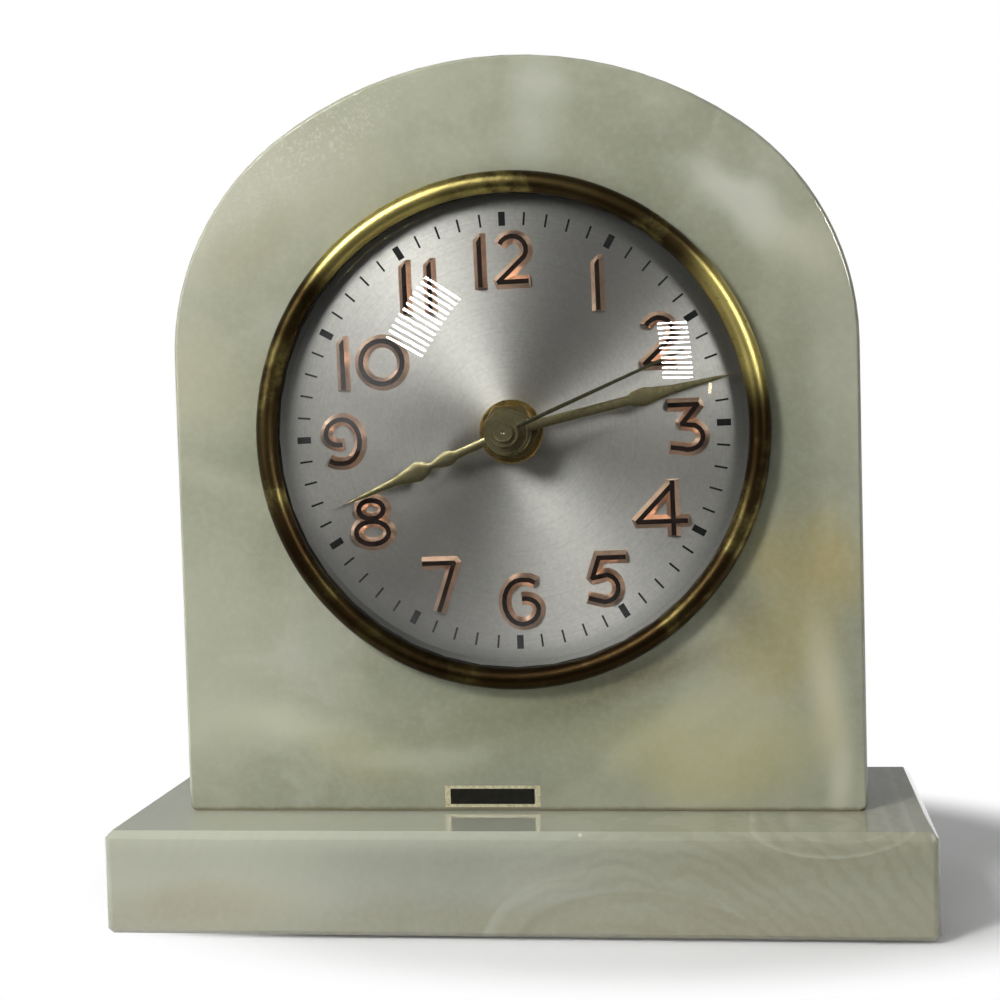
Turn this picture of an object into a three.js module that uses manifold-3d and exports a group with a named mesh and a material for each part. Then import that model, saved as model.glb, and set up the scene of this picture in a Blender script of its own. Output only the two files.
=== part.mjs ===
// Onyx mantel clock: an arched stone slab on a stone base, with a brass-bezelled electric dial let into it.
// Millimetres, +Z up, the front faces -Y, and the origin is under the middle of the base.
import * as THREE from 'three';
import { mergeVertices } from 'three/addons/utils/BufferGeometryUtils.js';
import Module from 'manifold-3d';

const wasm = await Module();
wasm.setup();

// Base stone and its felt
const baseWidth = 173;
const baseDepth = 69.85;
const baseStoneHeight = 21.8;
const baseTopBevel = 1.5;
const baseFootBevel = 1;
const baseCornerRadius = 1.6;
const feltThickness = 0.6;
const feltInset = 4;

// Arched slab
const slabWidth = 147.5;
const slabHeight = 161.75;
const slabThickness = 30;
const slabSetback = 20.8;
const slabEdgeBevel = 0.6;
const slabFootRadius = 1.5;
const shoulderRadius = 57.1;
const crownFlatness = 11.65;
const dialRise = 81.9;
const boreRadius = 46;
const rebateDepth = 6;
const labelWidth = 20.8;
const labelHeight = 4.7;
const labelThickness = 0.12;
const labelOffset = -6.1;
const labelRise = 0.8;

// Studs that hold the slab down
const studRadius = 3;
const studLength = 41.8;
const studSpacing = 90;
const studHoleGap = 0.3;
const studNutAcross = 10;
const studNutHeight = 5;
const studWasherRadius = 7.5;
const studWasherThickness = 1.2;
const counterboreRadius = 8.5;
const counterboreDepth = 9;
const studStickOut = 1.2;

// Bezel and glass
const bezelRadius = 55.2;
const bezelWidth = 4.7;
const bezelHeight = 4.6;
const bezelLip = 1.5;
const skirtWall = 0.9;
const crimpWidth = 1.2;
const crimpThickness = 0.8;
const stoneGap = 0.3;
const seatGap = 0.1;
const glassRise = 13.8;
const glassThickness = 1.7;
const glassFit = 0.4;
const spacerWidth = 1.2;
const spacerThickness = 0.6;

// Dial and its raised numerals
const dialThickness = 0.8;
const panThickness = 0.8;
const dialFit = 0.2;
const numeralCircle = 36.4;
const numeralHeight = 11.8;
const strokeWidth = 2.8;
const strokeTop = 1;
const numeralRelief = 1.2;
const numeralClearance = 0.5;
const endSlope = 0.25;
const cornerCut = 0.35;
const dialTurn = -1;

// Centre tubes, nested from the seconds arbor outwards
const arborRadius = 0.95;
const tubeGap = 0.2;
const tubeWall = 0.9;
const bushingWall = 1.5;
const bushingHub = 8;
const bushingHubLength = 6.2;
const dialWasherRadius = 6.8;
const dialWasherThickness = 0.6;
const dialNutAcross = 11;
const dialNutHeight = 3;
const threadEnd = 0.6;

// Hands
const handThickness = 0.4;
const bossGap = 0.5;
const bossHeight = 2.4;
const hourBossRadius = 5;
const minuteBossRadius = 4.6;
const secondHubRadius = 3;
const secondHubHeight = 2.6;
const capRadius = 1.95;
const capHeight = 1.1;
const hourReach = 39.6;
const minuteReach = 48.6;
const secondReach = 40.4;
const hourWidth = 4.3;
const minuteWidth = 3.9;
const secondWidth = 0.9;
const hourAngle = 247.8;
const minuteAngle = 77;
const secondAngle = 66.6;
const tipClearance = 0.8;

// Movement plates
const plateThickness = 1.2;
const plateHalfWidth = 24;
const plateTop = 24;
const plateFoot = -17.5;
const pillarRadius = 2;
const upperPillar = [20, 20.5];
const lowerPillar = [14, -13.5];
const screwRadius = 1.1;
const screwHeadRadius = 2.3;
const screwHeadHeight = 1.3;
const pivotRadius = 0.45;
const pivotGap = 0.15;

// Gear train
const motionModule = 0.65;
const trainModule = 0.35;
const rotorModule = 0.5;
const cannonTeeth = 10;
const minuteWheelTeeth = 30;
const setPinionTeeth = 8;
const hourWheelTeeth = 32;
const centreWheelTeeth = 60;
const slowPinionTeeth = 6;
const slowWheelTeeth = 48;
const secondPinionTeeth = 8;
const secondWheelTeeth = 32;
const rotorTeeth = 8;
const slowDirection = 30;
const rotorDirection = 150;
const setDirection = 270;
const layerPitch = 2.6;
const layerClear = 0.8;
const wheelThickness = 1;
const pinionWidth = 1.6;
const backClear = 1.6;
const slowArborRadius = 0.5;
const setArborRadius = 1;

// Motor
const rotorCanRadius = 9;
const rotorCanLength = 10.5;
const rotorGap = 0.35;
const stackDepth = 8;
const stackHalfWidth = 27;
const stackLimb = 8;
const yokeFoot = -8;
const legCentre = -28;
const legHeight = 8;
const bobbinWall = 1;
const bobbinLength = 32;
const bobbinFlange = 10;
const flangeThickness = 1.2;
const coilBuild = 4.4;

// Rear cover
const coverFlangeRadius = 50.5;
const coverRadius = 44;
const coverDepth = 11.9;
const coverWall = 0.9;
const coverCornerRadius = 2.5;
const postSpacing = 72;
const postRadius = 2.6;
const coverScrewRadius = 1.5;
const coverScrewLength = 7;
const coverScrewHead = 3.2;
const coverScrewHeadHeight = 1.8;
const ventLength = 13;
const ventWidth = 2.2;
const ventPitch = 5.5;
const grommetAt = [-27, -25];
const grommetRadius = 3.6;
const grommetFlange = 5;
const cordHoleRadius = 1.9;
const knobRadius = 5;
const knobLength = 5.2;
const knobGap = 0.8;

// Facets round a full turn
const ringSteps = 60;
const glassSteps = 40;
const coverSteps = 40;
const hubSteps = 16;
const pinSteps = 8;

// Heights above the floor, and places along the dial axis measured forward from the slab's front face
const baseTop = feltThickness + baseStoneHeight;
const dialCentre = baseTop + dialRise;
const slabFront = slabSetback - baseDepth / 2;
const bezelInner = bezelRadius - bezelWidth;
const lipUnderside = bezelHeight - bezelWidth / 2;
const pocketRadius = bezelInner + bezelLip;
const skirtRadius = pocketRadius + skirtWall;
const rimRadius = pocketRadius - glassFit;
const glassRadius = (rimRadius ** 2 + glassRise ** 2) / (2 * glassRise);
const glassCentre = lipUnderside - 0.15 - Math.sqrt(glassRadius ** 2 - bezelInner ** 2);
const glassInner = (r) => glassCentre + Math.sqrt((glassRadius - glassThickness) ** 2 - r ** 2);
const dialFront = glassInner(rimRadius) - seatGap - spacerThickness;
const dialBack = dialFront - dialThickness;
const panBack = dialBack - panThickness;
const dialRadius = pocketRadius - dialFit;
const cannonBore = arborRadius + tubeGap;
const cannonRadius = cannonBore + tubeWall;
const hourBore = cannonRadius + tubeGap;
const hourRadius = hourBore + tubeWall;
const bushingBore = hourRadius + tubeGap;
const bushingRadius = bushingBore + bushingWall;
const washerFront = dialFront + dialWasherThickness;
const nutFront = washerFront + dialNutHeight;
const bushingFront = nutFront + threadEnd;
const hourFoot = bushingFront + bossGap;
const minuteFoot = hourFoot + bossHeight + bossGap;
const secondFoot = minuteFoot + bossHeight + bossGap;
const secondTop = secondFoot + secondHubHeight;
const frontPlateFront = panBack - bushingHubLength;
const frontPlateBack = frontPlateFront - plateThickness;
const layerFront = (i) => frontPlateBack - layerClear - i * layerPitch;
const backPlateFront = layerFront(4) - wheelThickness - backClear;
const backPlateBack = backPlateFront - plateThickness;
const stackBack = backPlateBack - stackDepth;
const coverInside = -slabThickness - coverDepth + coverWall;
const coverBack = coverInside - coverWall;

// Arbor centres, seen from the front about the dial centre
const polar = (radius, degrees) => [
  radius * Math.cos(THREE.MathUtils.degToRad(degrees)),
  radius * Math.sin(THREE.MathUtils.degToRad(degrees)),
];
const motionDistance = ((cannonTeeth + minuteWheelTeeth) * motionModule) / 2;
const hourModule = (2 * motionDistance) / (setPinionTeeth + hourWheelTeeth);
const trainDistance = ((slowPinionTeeth + centreWheelTeeth) * trainModule) / 2;
const slowModule = (2 * trainDistance) / (secondPinionTeeth + slowWheelTeeth);
const rotorDistance = ((rotorTeeth + secondWheelTeeth) * rotorModule) / 2;
const setArborAt = polar(motionDistance, setDirection);
const slowArborAt = polar(trainDistance, slowDirection);
const rotorAt = polar(rotorDistance, rotorDirection);

// Closed indexed solid from any three.js geometry, facing out
function closed(geometry) {
  const bare = geometry.index ? geometry.toNonIndexed() : geometry.clone();
  bare.deleteAttribute('normal');
  bare.deleteAttribute('uv');
  const merged = mergeVertices(bare, 1e-4);
  const index = merged.index.array;
  const position = merged.attributes.position;
  const kept = [];
  const a = new THREE.Vector3();
  const b = new THREE.Vector3();
  const c = new THREE.Vector3();
  let volume = 0;
  for (let i = 0; i < index.length; i += 3) {
    const [p, q, r] = [index[i], index[i + 1], index[i + 2]];
    if (p === q || q === r || r === p) continue;
    kept.push(p, q, r);
    a.fromBufferAttribute(position, p);
    b.fromBufferAttribute(position, q);
    c.fromBufferAttribute(position, r);
    volume += a.dot(b.cross(c));
  }
  if (volume < 0) {
    for (let i = 0; i < kept.length; i += 3) [kept[i], kept[i + 1]] = [kept[i + 1], kept[i]];
  }
  merged.setIndex(kept);
  return merged;
}

function toSolid(geometry) {
  const shape = closed(geometry);
  return new wasm.Manifold(new wasm.Mesh({
    numProp: 3,
    vertProperties: new Float32Array(shape.attributes.position.array),
    triVerts: new Uint32Array(shape.index.array),
  }));
}

function fromSolid(solid) {
  const mesh = solid.getMesh();
  const geometry = new THREE.BufferGeometry();
  const points = [];
  for (let i = 0; i < mesh.vertProperties.length; i += mesh.numProp) {
    points.push(...mesh.vertProperties.slice(i, i + 3));
  }
  geometry.setAttribute('position', new THREE.Float32BufferAttribute(points, 3));
  geometry.setIndex([...mesh.triVerts]);
  return geometry;
}

function cut(body, ...tools) {
  let solid = toSolid(body);
  for (const tool of tools) solid = solid.subtract(toSolid(tool));
  return fromSolid(solid);
}

function join(...parts) {
  let solid = toSolid(parts[0]);
  for (const part of parts.slice(1)) solid = solid.add(toSolid(part));
  return fromSolid(solid);
}

// Solid of revolution about z from [radius, z] points: on the axis at both ends, or closed on itself
function turned(profile, steps = hubSteps, [x, y] = [0, 0]) {
  const points = profile.map(([r, z]) => new THREE.Vector2(r, z));
  if (profile[0][0] > 0 || profile.at(-1)[0] > 0) points.push(points[0].clone());
  return new THREE.LatheGeometry(points, steps).rotateX(Math.PI / 2).translate(x, y, 0);
}

const rod = (radius, z0, z1, at = [0, 0], steps = pinSteps) =>
  turned([[0, z0], [radius, z0], [radius, z1], [0, z1]], steps, at);

const tube = (inner, outer, z0, z1, at = [0, 0], steps = hubSteps) =>
  turned([[inner, z0], [outer, z0], [outer, z1], [inner, z1]], steps, at);

const circle = (radius, steps, [x, y] = [0, 0]) =>
  Array.from({ length: steps }, (_, i) => {
    const angle = (i / steps) * 2 * Math.PI;
    return new THREE.Vector2(x + radius * Math.cos(angle), y + radius * Math.sin(angle));
  });

// Flat plate between two places on z, with round or shaped holes
function plate(outline, z0, z1, holes = []) {
  const shape = new THREE.Shape(outline);
  shape.holes = holes.map((hole) => new THREE.Path(hole));
  return new THREE.ExtrudeGeometry(shape, { depth: z1 - z0, bevelEnabled: false }).translate(0, 0, z0);
}

const rectangle = (x0, y0, x1, y1) => [
  new THREE.Vector2(x0, y0), new THREE.Vector2(x1, y0), new THREE.Vector2(x1, y1), new THREE.Vector2(x0, y1),
];

function roundedRectangle(x0, y0, x1, y1, radius, steps = 4) {
  const points = [];
  const corners = [[x1 - radius, y1 - radius], [x0 + radius, y1 - radius], [x0 + radius, y0 + radius], [x1 - radius, y0 + radius]];
  corners.forEach(([x, y], quarter) => {
    for (let i = 0; i <= steps; i += 1) {
      const angle = ((quarter + i / steps) * Math.PI) / 2;
      points.push(new THREE.Vector2(x + radius * Math.cos(angle), y + radius * Math.sin(angle)));
    }
  });
  return points;
}

const hexagon = (across) => circle(across / Math.sqrt(3), 6);

// Solid through level outlines of equal point count
function layered(levels) {
  const count = levels[0].outline.length;
  const position = [];
  const index = [];
  for (const { outline, z } of levels) for (const p of outline) position.push(p.x, p.y, z);
  for (let level = 0; level + 1 < levels.length; level += 1) {
    for (let i = 0; i < count; i += 1) {
      const a = level * count + i;
      const b = level * count + ((i + 1) % count);
      index.push(a, b, b + count, a, b + count, a + count);
    }
  }
  const top = (levels.length - 1) * count;
  for (const [a, b, c] of THREE.ShapeUtils.triangulateShape(levels[0].outline, [])) index.push(c, b, a);
  for (const [a, b, c] of THREE.ShapeUtils.triangulateShape(levels.at(-1).outline, [])) index.push(top + a, top + b, top + c);
  const geometry = new THREE.BufferGeometry();
  geometry.setAttribute('position', new THREE.Float32BufferAttribute(position, 3));
  geometry.setIndex(index);
  return geometry;
}

// Gear outline with straight-flanked teeth, one of them centred on the given direction
// Each tooth runs between the root and tip circles, at shares of the tooth pitch
const wheelTooth = [[0, -0.5], [1, -0.1], [1, 0.1]];
const pinionTooth = [[0, -0.25], [1, -0.05], [1, 0.05], [0, 0.25]];
function gearOutline(teeth, module, direction, tooth) {
  const points = [];
  const pitch = (2 * Math.PI) / teeth;
  const root = (teeth * module) / 2 - 0.85 * module;
  const tip = (teeth * module) / 2 + 0.55 * module;
  for (let i = 0; i < teeth; i += 1) {
    const middle = THREE.MathUtils.degToRad(direction) + i * pitch;
    for (const [height, share] of tooth) {
      const radius = root + (tip - root) * height;
      const angle = middle + share * pitch;
      points.push(new THREE.Vector2(radius * Math.cos(angle), radius * Math.sin(angle)));
    }
  }
  return points;
}

const gear = (tooth, teeth, module, direction, [z0, z1], [x, y] = [0, 0]) =>
  plate(gearOutline(teeth, module, direction, tooth), z0, z1).translate(x, y, 0);

// Base stone: bevelled top edge, eased foot, and two counterbored stud holes
function onyxBase() {
  const ring = (inset) => roundedRectangle(
    inset - baseWidth / 2, inset - baseDepth / 2, baseWidth / 2 - inset, baseDepth / 2 - inset,
    Math.max(baseCornerRadius - inset, 0.05),
  );
  const block = layered([
    { outline: ring(baseFootBevel), z: feltThickness },
    { outline: ring(0), z: feltThickness + baseFootBevel },
    { outline: ring(0), z: baseTop - baseTopBevel },
    { outline: ring(baseTopBevel), z: baseTop },
  ]);
  const counterboreTop = feltThickness + counterboreDepth;
  const holes = studPlaces.map((at) => turned([
    [0, -1], [counterboreRadius, -1], [counterboreRadius, counterboreTop],
    [studRadius + studHoleGap, counterboreTop], [studRadius + studHoleGap, baseTop + 1], [0, baseTop + 1],
  ], hubSteps, at));
  return cut(block, ...holes);
}

const slabMiddle = slabFront + slabThickness / 2;
const studPlaces = [[-studSpacing / 2, slabMiddle], [studSpacing / 2, slabMiddle]];
const washerBack = feltThickness + counterboreDepth - studWasherThickness;
const studFoot = washerBack - studNutHeight - studStickOut;

// Arch outline in heights above the floor: straight sides, round shoulders and a flatter crown
function archOutline(inset) {
  const half = slabWidth / 2 - inset;
  const shoulder = shoulderRadius - inset;
  const crown = slabWidth / 2 + crownFlatness - inset;
  const apex = baseTop + slabHeight - inset;
  const crownCentre = apex - crown;
  const shoulderX = half - shoulder;
  const spring = crownCentre + Math.sqrt((crown - shoulder) ** 2 - shoulderX ** 2);
  const turn = Math.atan2(spring - crownCentre, shoulderX);
  const foot = Math.max(slabFootRadius - inset, 0.05);
  const right = [];
  for (let i = 0; i <= 3; i += 1) {
    const angle = -Math.PI / 2 + (i / 3) * (Math.PI / 2);
    right.push([half - foot + foot * Math.cos(angle), baseTop + inset + foot + foot * Math.sin(angle)]);
  }
  for (let i = 0; i <= 14; i += 1) {
    const angle = (i / 14) * turn;
    right.push([shoulderX + shoulder * Math.cos(angle), spring + shoulder * Math.sin(angle)]);
  }
  for (let i = 1; i <= 9; i += 1) {
    const angle = turn + (i / 9) * (Math.PI / 2 - turn);
    right.push([crown * Math.cos(angle), crownCentre + crown * Math.sin(angle)]);
  }
  const left = right.slice(0, -1).reverse().map(([x, z]) => [-x, z]);
  return [...right, ...left].map(([x, z]) => new THREE.Vector2(x, z));
}

// Slab: chamfered arch, bored through, rebated in front for the bezel skirt, with blind stud holes
function onyxBody() {
  const levels = [
    { outline: archOutline(slabEdgeBevel), z: -slabThickness },
    { outline: archOutline(0), z: slabEdgeBevel - slabThickness },
    { outline: archOutline(0), z: -slabEdgeBevel },
    { outline: archOutline(slabEdgeBevel), z: 0 },
  ];
  // The two foot points of each level lie on the base, so the bevel dies out there
  for (const { outline } of levels) for (const p of outline) if (p.y < baseTop + slabEdgeBevel * 1.01) p.y = baseTop;
  const bore = turned([
    [0, -slabThickness - 1], [boreRadius, -slabThickness - 1], [boreRadius, -rebateDepth],
    [skirtRadius + stoneGap, -rebateDepth], [skirtRadius + stoneGap, 1], [0, 1],
  ], ringSteps, [0, dialCentre]);
  const slab = cut(layered(levels), bore).rotateX(Math.PI / 2).translate(0, slabFront, 0);
  const studTop = studFoot + studLength;
  return cut(slab, ...studPlaces.map((at) => rod(studRadius + studHoleGap, baseTop - 1, studTop + 0.5, at, hubSteps)));
}

// Bezel: half-round crown, lip over the glass, and a skirt crimped behind the dial pan
function bezelRing() {
  const crown = [];
  for (let i = 0; i <= 6; i += 1) {
    const angle = (i / 6) * Math.PI;
    const middle = bezelRadius - bezelWidth / 2;
    crown.push([middle + (bezelWidth / 2) * Math.cos(angle), lipUnderside + (bezelWidth / 2) * Math.sin(angle)]);
  }
  const crimpFront = panBack - stoneGap;
  const crimpBack = crimpFront - crimpThickness;
  return turned([
    [bezelRadius, 0], ...crown, [pocketRadius, lipUnderside], [pocketRadius, crimpFront],
    [pocketRadius - crimpWidth, crimpFront], [pocketRadius - crimpWidth, crimpBack], [skirtRadius, crimpBack], [skirtRadius, 0],
  ], ringSteps);
}

function dialGlass() {
  const outer = [];
  const inner = [];
  for (let i = 0; i <= 5; i += 1) {
    const r = (i / 5) * rimRadius;
    outer.push([r, glassCentre + Math.sqrt(glassRadius ** 2 - r ** 2)]);
    inner.unshift([r, glassInner(r)]);
  }
  return turned([...outer, ...inner], glassSteps);
}

// Raised numeral strokes, each a ridge with sloping flanks, a flat top, steep ends and sharp corners cut short
function ridge(path, loop = false) {
  const count = path.length;
  const levels = [];
  for (const [half, z] of [[strokeWidth / 2, dialFront - 0.2], [strokeWidth / 2, dialFront], [strokeTop / 2, dialFront + numeralRelief]]) {
    const pull = strokeWidth / 2 - half;
    const sides = [[], []];
    path.forEach(([x, y], i) => {
      const before = path[loop ? (i + count - 1) % count : Math.max(i - 1, 0)];
      const after = path[loop ? (i + 1) % count : Math.min(i + 1, count - 1)];
      const into = new THREE.Vector2(x - before[0], y - before[1]).normalize();
      const out = new THREE.Vector2(after[0] - x, after[1] - y).normalize();
      if (!loop && i === 0) into.copy(out);
      if (!loop && i === count - 1) out.copy(into);
      const along = into.clone().add(out).normalize();
      const bend = along.dot(into);
      const reach = half / bend;
      const slide = loop || (i > 0 && i < count - 1) ? 0 : (i === 0 ? endSlope : -endSlope) * pull;
      [1, -1].forEach((hand, side) => {
        const outside = into.cross(out) * hand < 0;
        if (bend > 0.7 || !outside) {
          sides[side].push(new THREE.Vector2(x - along.y * reach * hand + along.x * slide, y + along.x * reach * hand + along.y * slide));
          return;
        }
        for (const [way, sign] of [[into, cornerCut], [out, -cornerCut]]) {
          sides[side].push(new THREE.Vector2(x + (way.x * sign - way.y * hand) * half, y + (way.y * sign + way.x * hand) * half));
        }
      });
    });
    levels.push({ sides, z });
  }
  if (!loop) return layered(levels.map(({ sides, z }) => ({ outline: [...sides[1], ...sides[0].reverse()], z })));
  const area = THREE.ShapeUtils.area(levels[0].sides[0]);
  const outer = area > THREE.ShapeUtils.area(levels[0].sides[1]) ? 0 : 1;
  const disc = layered(levels.map(({ sides, z }) => ({ outline: sides[outer], z })));
  const well = layered(levels.map(({ sides, z }, i) => ({ outline: sides[1 - outer], z: z + (i ? i - 1 : -1) * 0.1 })));
  return cut(disc, well);
}

// Slanted bar of the figure one
function oneBar() {
  const half = strokeWidth / 2;
  const top = numeralHeight / 2;
  const outline = (inset) => [
    [-half + inset, -top + inset * endSlope], [half - inset, -top + inset * endSlope], [half - inset, top - inset],
    [half * 0.1, top - inset], [-half + inset, top - half - inset * 0.6],
  ].map(([x, y]) => new THREE.Vector2(x, y));
  const pull = (strokeWidth - strokeTop) / 2;
  return layered([
    { outline: outline(0), z: dialFront - 0.2 },
    { outline: outline(0), z: dialFront },
    { outline: outline(pull), z: dialFront + numeralRelief },
  ]);
}

const arc = (x, y, rx, ry, from, to, steps) => Array.from({ length: steps + 1 }, (_, i) => {
  const angle = THREE.MathUtils.degToRad(from + ((to - from) * i) / steps);
  return [x + rx * Math.cos(angle), y + ry * Math.sin(angle)];
});

const ring = (x, y, rx, ry, steps) => arc(x, y, rx, ry, 0, 360, steps).slice(0, -1);

// Centrelines of the figures, drawn for the nominal height below
const drawnHeight = 11.8;
const six = [
  [3.3, 3.95], [1.9, 4.62],
  ...arc(0.1, 0, 3.75, 4.75, 90, 270, 10),
  ...arc(0.1, -1.55, 3.6, 3.2, 288, 360, 4),
  ...arc(0.7, -1.5, 3, 2.25, 20, 105, 4),
];
const figures = {
  0: [{ path: ring(0, 0, 4.55, 4.65, 22), loop: true }],
  2: [{ path: [...arc(-0.1, 1.95, 2.95, 2.85, 158, -32, 9), [-3.3, -4.75], [3.4, -4.75]] }],
  3: [{ path: [[-4.2, 4.7], [2.3, 4.7], [-1.1, 0.65], ...arc(0.1, -2.05, 3.1, 2.7, 60, -115, 9), [-3.9, -4.1]] }],
  4: [
    { path: [[2.5, 6.05], [2.5, -6.05]] },
    { path: [[2.6, 5], [-5.05, -2.8], [5.75, -2.8]] },
  ],
  5: [{ path: [[4.6, 4.6], [-1.4, 4.6], [-2.9, 0.3], ...arc(-0.4, -1.85, 2.95, 2.9, 75, -112, 9), [-4.1, -3.8]] }],
  6: [{ path: six }],
  7: [{ path: [[-4.1, 4.6], [3.05, 4.6], [-0.7, -6.05]] }],
  8: [
    { path: ring(-0.15, 2.85, 2.75, 2.05, 16), loop: true },
    { path: ring(-0.05, -2.15, 3.6, 2.5, 18), loop: true },
  ],
  9: [{ path: six.map(([x, y]) => [-x, -y]) }],
};
// Figures of each hour, with the shift of their centres from the numeral circle
const numerals = {
  1: [[1, 1.6, -1.1]],
  2: [[2, 0.8, -0.5]],
  3: [[3, 1, -0.65]],
  4: [[4, -0.3, 0.7]],
  5: [[5, 0.8, -0.6]],
  6: [[6, 0.7, 0]],
  7: [[7, 1.7, -0.6]],
  8: [[8, 0.75, -0.1]],
  9: [[9, 0.1, -0.6]],
  10: [[1, -4.1, -2.1], [0, 4.4, -2.25]],
  11: [[1, -3.15, 0.1], [1, 2.25, 0.2]],
  12: [[1, -5, 0], [2, 2.15, 0]],
};

function figure(digit) {
  if (digit === 1) return [oneBar()];
  const scale = numeralHeight / drawnHeight;
  return figures[digit].map(({ path, loop }) => ridge(path.map(([x, y]) => [x * scale, y * scale]), loop));
}

// Dial sheet with the twelve upright numerals standing on it
function dialWithNumerals() {
  const sheet = tube(bushingRadius + 0.25, dialRadius, dialBack, dialFront, [0, 0], ringSteps);
  const strokes = [];
  for (let hour = 1; hour <= 12; hour += 1) {
    const [x, y] = polar(numeralCircle, 90 - hour * 30);
    for (const [digit, across, up] of numerals[hour]) {
      for (const stroke of figure(digit)) strokes.push(stroke.translate(x + across, y + up, 0));
    }
  }
  return join(sheet, ...strokes).rotateZ(THREE.MathUtils.degToRad(-dialTurn));
}

// Flat hand blade from [distance, half width] stations, tilted down from its root to its tip and turned to its angle
function blade(stations, rootHeight, tipHeight, clockwise) {
  const reach = stations.at(-1)[0];
  const tilt = Math.atan2(rootHeight - tipHeight, reach);
  const upper = stations.map(([r, half]) => new THREE.Vector2(r / Math.cos(tilt), half));
  const lower = upper.map(({ x, y }) => new THREE.Vector2(x, -y)).reverse();
  return plate([...upper, ...lower], -handThickness / 2, handThickness / 2)
    .rotateY(tilt)
    .translate(0, 0, rootHeight)
    .rotateZ(THREE.MathUtils.degToRad(90 - clockwise));
}

// Spear-shaped hands: a bead and a leaf on the hour hand, a plain leaf on the minute hand
const hourStations = [
  [2, 0.21], [12.2, 0.21], [12.8, 0.31], [14.3, 0.38], [16, 0.29], [17.4, 0.18], [18.4, 0.16],
  [19.6, 0.36], [21.2, 0.5], [23.5, 0.37], [27, 0.21], [32, 0.14], [1, 0.03],
];
const minuteStations = [
  [2, 0.26], [26.2, 0.26], [27.2, 0.41], [29.4, 0.5], [32, 0.37], [36, 0.23], [42, 0.14], [1, 0.03],
];
const shaped = (stations, width, reach) =>
  stations.map(([r, share], i) => [i === stations.length - 1 ? reach : r, share * width]);

function hourHand() {
  const boss = rod(hourBossRadius, hourFoot, hourFoot + bossHeight, [0, 0], hubSteps);
  const middle = hourFoot + bossHeight / 2;
  const leaf = blade(shaped(hourStations, hourWidth, hourReach), middle, dialFront + numeralRelief + numeralClearance, hourAngle);
  return cut(join(boss, leaf), rod(hourRadius + seatGap, hourFoot - 1, hourFoot + bossHeight + 1, [0, 0], hubSteps));
}

function minuteHand() {
  const boss = rod(minuteBossRadius, minuteFoot, minuteFoot + bossHeight, [0, 0], hubSteps);
  const middle = minuteFoot + bossHeight / 2;
  const leaf = blade(shaped(minuteStations, minuteWidth, minuteReach), middle, glassInner(minuteReach) - tipClearance, minuteAngle);
  return cut(join(boss, leaf), rod(cannonRadius + seatGap, minuteFoot - 1, minuteFoot + bossHeight + 1, [0, 0], hubSteps));
}

function secondHand() {
  const hub = turned([
    [0, secondFoot], [secondHubRadius, secondFoot], [secondHubRadius, secondTop], [capRadius, secondTop],
    [capRadius, secondTop + capHeight - 0.3], [capRadius - 0.3, secondTop + capHeight], [0.5, secondTop + capHeight],
    [0, secondTop + capHeight - 0.4],
  ]);
  const stations = [[1, secondWidth / 2], [secondReach, secondWidth / 3]];
  const needle = blade(stations, secondFoot + secondHubHeight / 2, glassInner(secondReach) - tipClearance, secondAngle);
  return cut(join(hub, needle), rod(arborRadius + seatGap, secondFoot - 1, secondTop - 0.6));
}

// Threaded bushing with the shoulder that carries the movement behind the dial pan
const centreBushing = () => turned([
  [bushingBore, frontPlateBack], [bushingRadius - 0.5, frontPlateBack], [bushingRadius - 0.5, frontPlateFront],
  [bushingHub, frontPlateFront], [bushingHub, panBack], [bushingRadius, panBack],
  [bushingRadius, bushingFront - 0.4], [bushingRadius - 0.4, bushingFront], [bushingBore, bushingFront],
]);

const hexNut = (across, bore, z0, z1) => plate(hexagon(across), z0, z1, [circle(bore, hubSteps)]);

const plateOutline = roundedRectangle(-plateHalfWidth, plateFoot, plateHalfWidth, plateTop, 4);
const pillars = [
  [-upperPillar[0], upperPillar[1]], [upperPillar[0], upperPillar[1]],
  [-lowerPillar[0], lowerPillar[1]], [lowerPillar[0], lowerPillar[1]],
];
const pinHole = (radius, at, steps = pinSteps) => circle(radius, steps, at);

const frontPlate = () => plate(plateOutline, frontPlateBack, frontPlateFront, [
  pinHole(bushingRadius - 0.5 + seatGap, [0, 0], hubSteps),
  pinHole(pivotRadius + pivotGap, slowArborAt),
  pinHole(pivotRadius + pivotGap, setArborAt),
]);

const backPlate = () => plate(plateOutline, backPlateBack, backPlateFront, [
  pinHole(pivotRadius + pivotGap, [0, 0]),
  pinHole(pivotRadius + pivotGap, slowArborAt),
  pinHole(setArborRadius + pivotGap, setArborAt),
  pinHole(setArborRadius + pivotGap, rotorAt),
  ...pillars.map((at) => pinHole(screwRadius + pivotGap, at)),
]);

const pillar = (at) => cut(
  rod(pillarRadius, backPlateFront, frontPlateBack, at),
  rod(screwRadius + seatGap, backPlateFront - 1, backPlateFront + 5, at),
);

// Upper screws reach through the motor's stack as well as the plate
function plateScrew(at, seat) {
  const head = rod(screwHeadRadius, seat - screwHeadHeight, seat, at);
  const shank = rod(screwRadius, seat - 0.2, backPlateFront + 4, at);
  const slot = plate(rectangle(at[0] - 3, at[1] - 0.3, at[0] + 3, at[1] + 0.3), seat - 2, seat - screwHeadHeight + 0.5);
  return cut(join(head, shank), slot);
}

// Pinion teeth stand a little past the wheel they drive, on both faces
const pinionAt = (layer) => {
  const middle = layerFront(layer) - wheelThickness / 2;
  return [middle - pinionWidth / 2, middle + pinionWidth / 2];
};
const wheelAt = (layer) => [layerFront(layer) - wheelThickness, layerFront(layer)];

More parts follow.
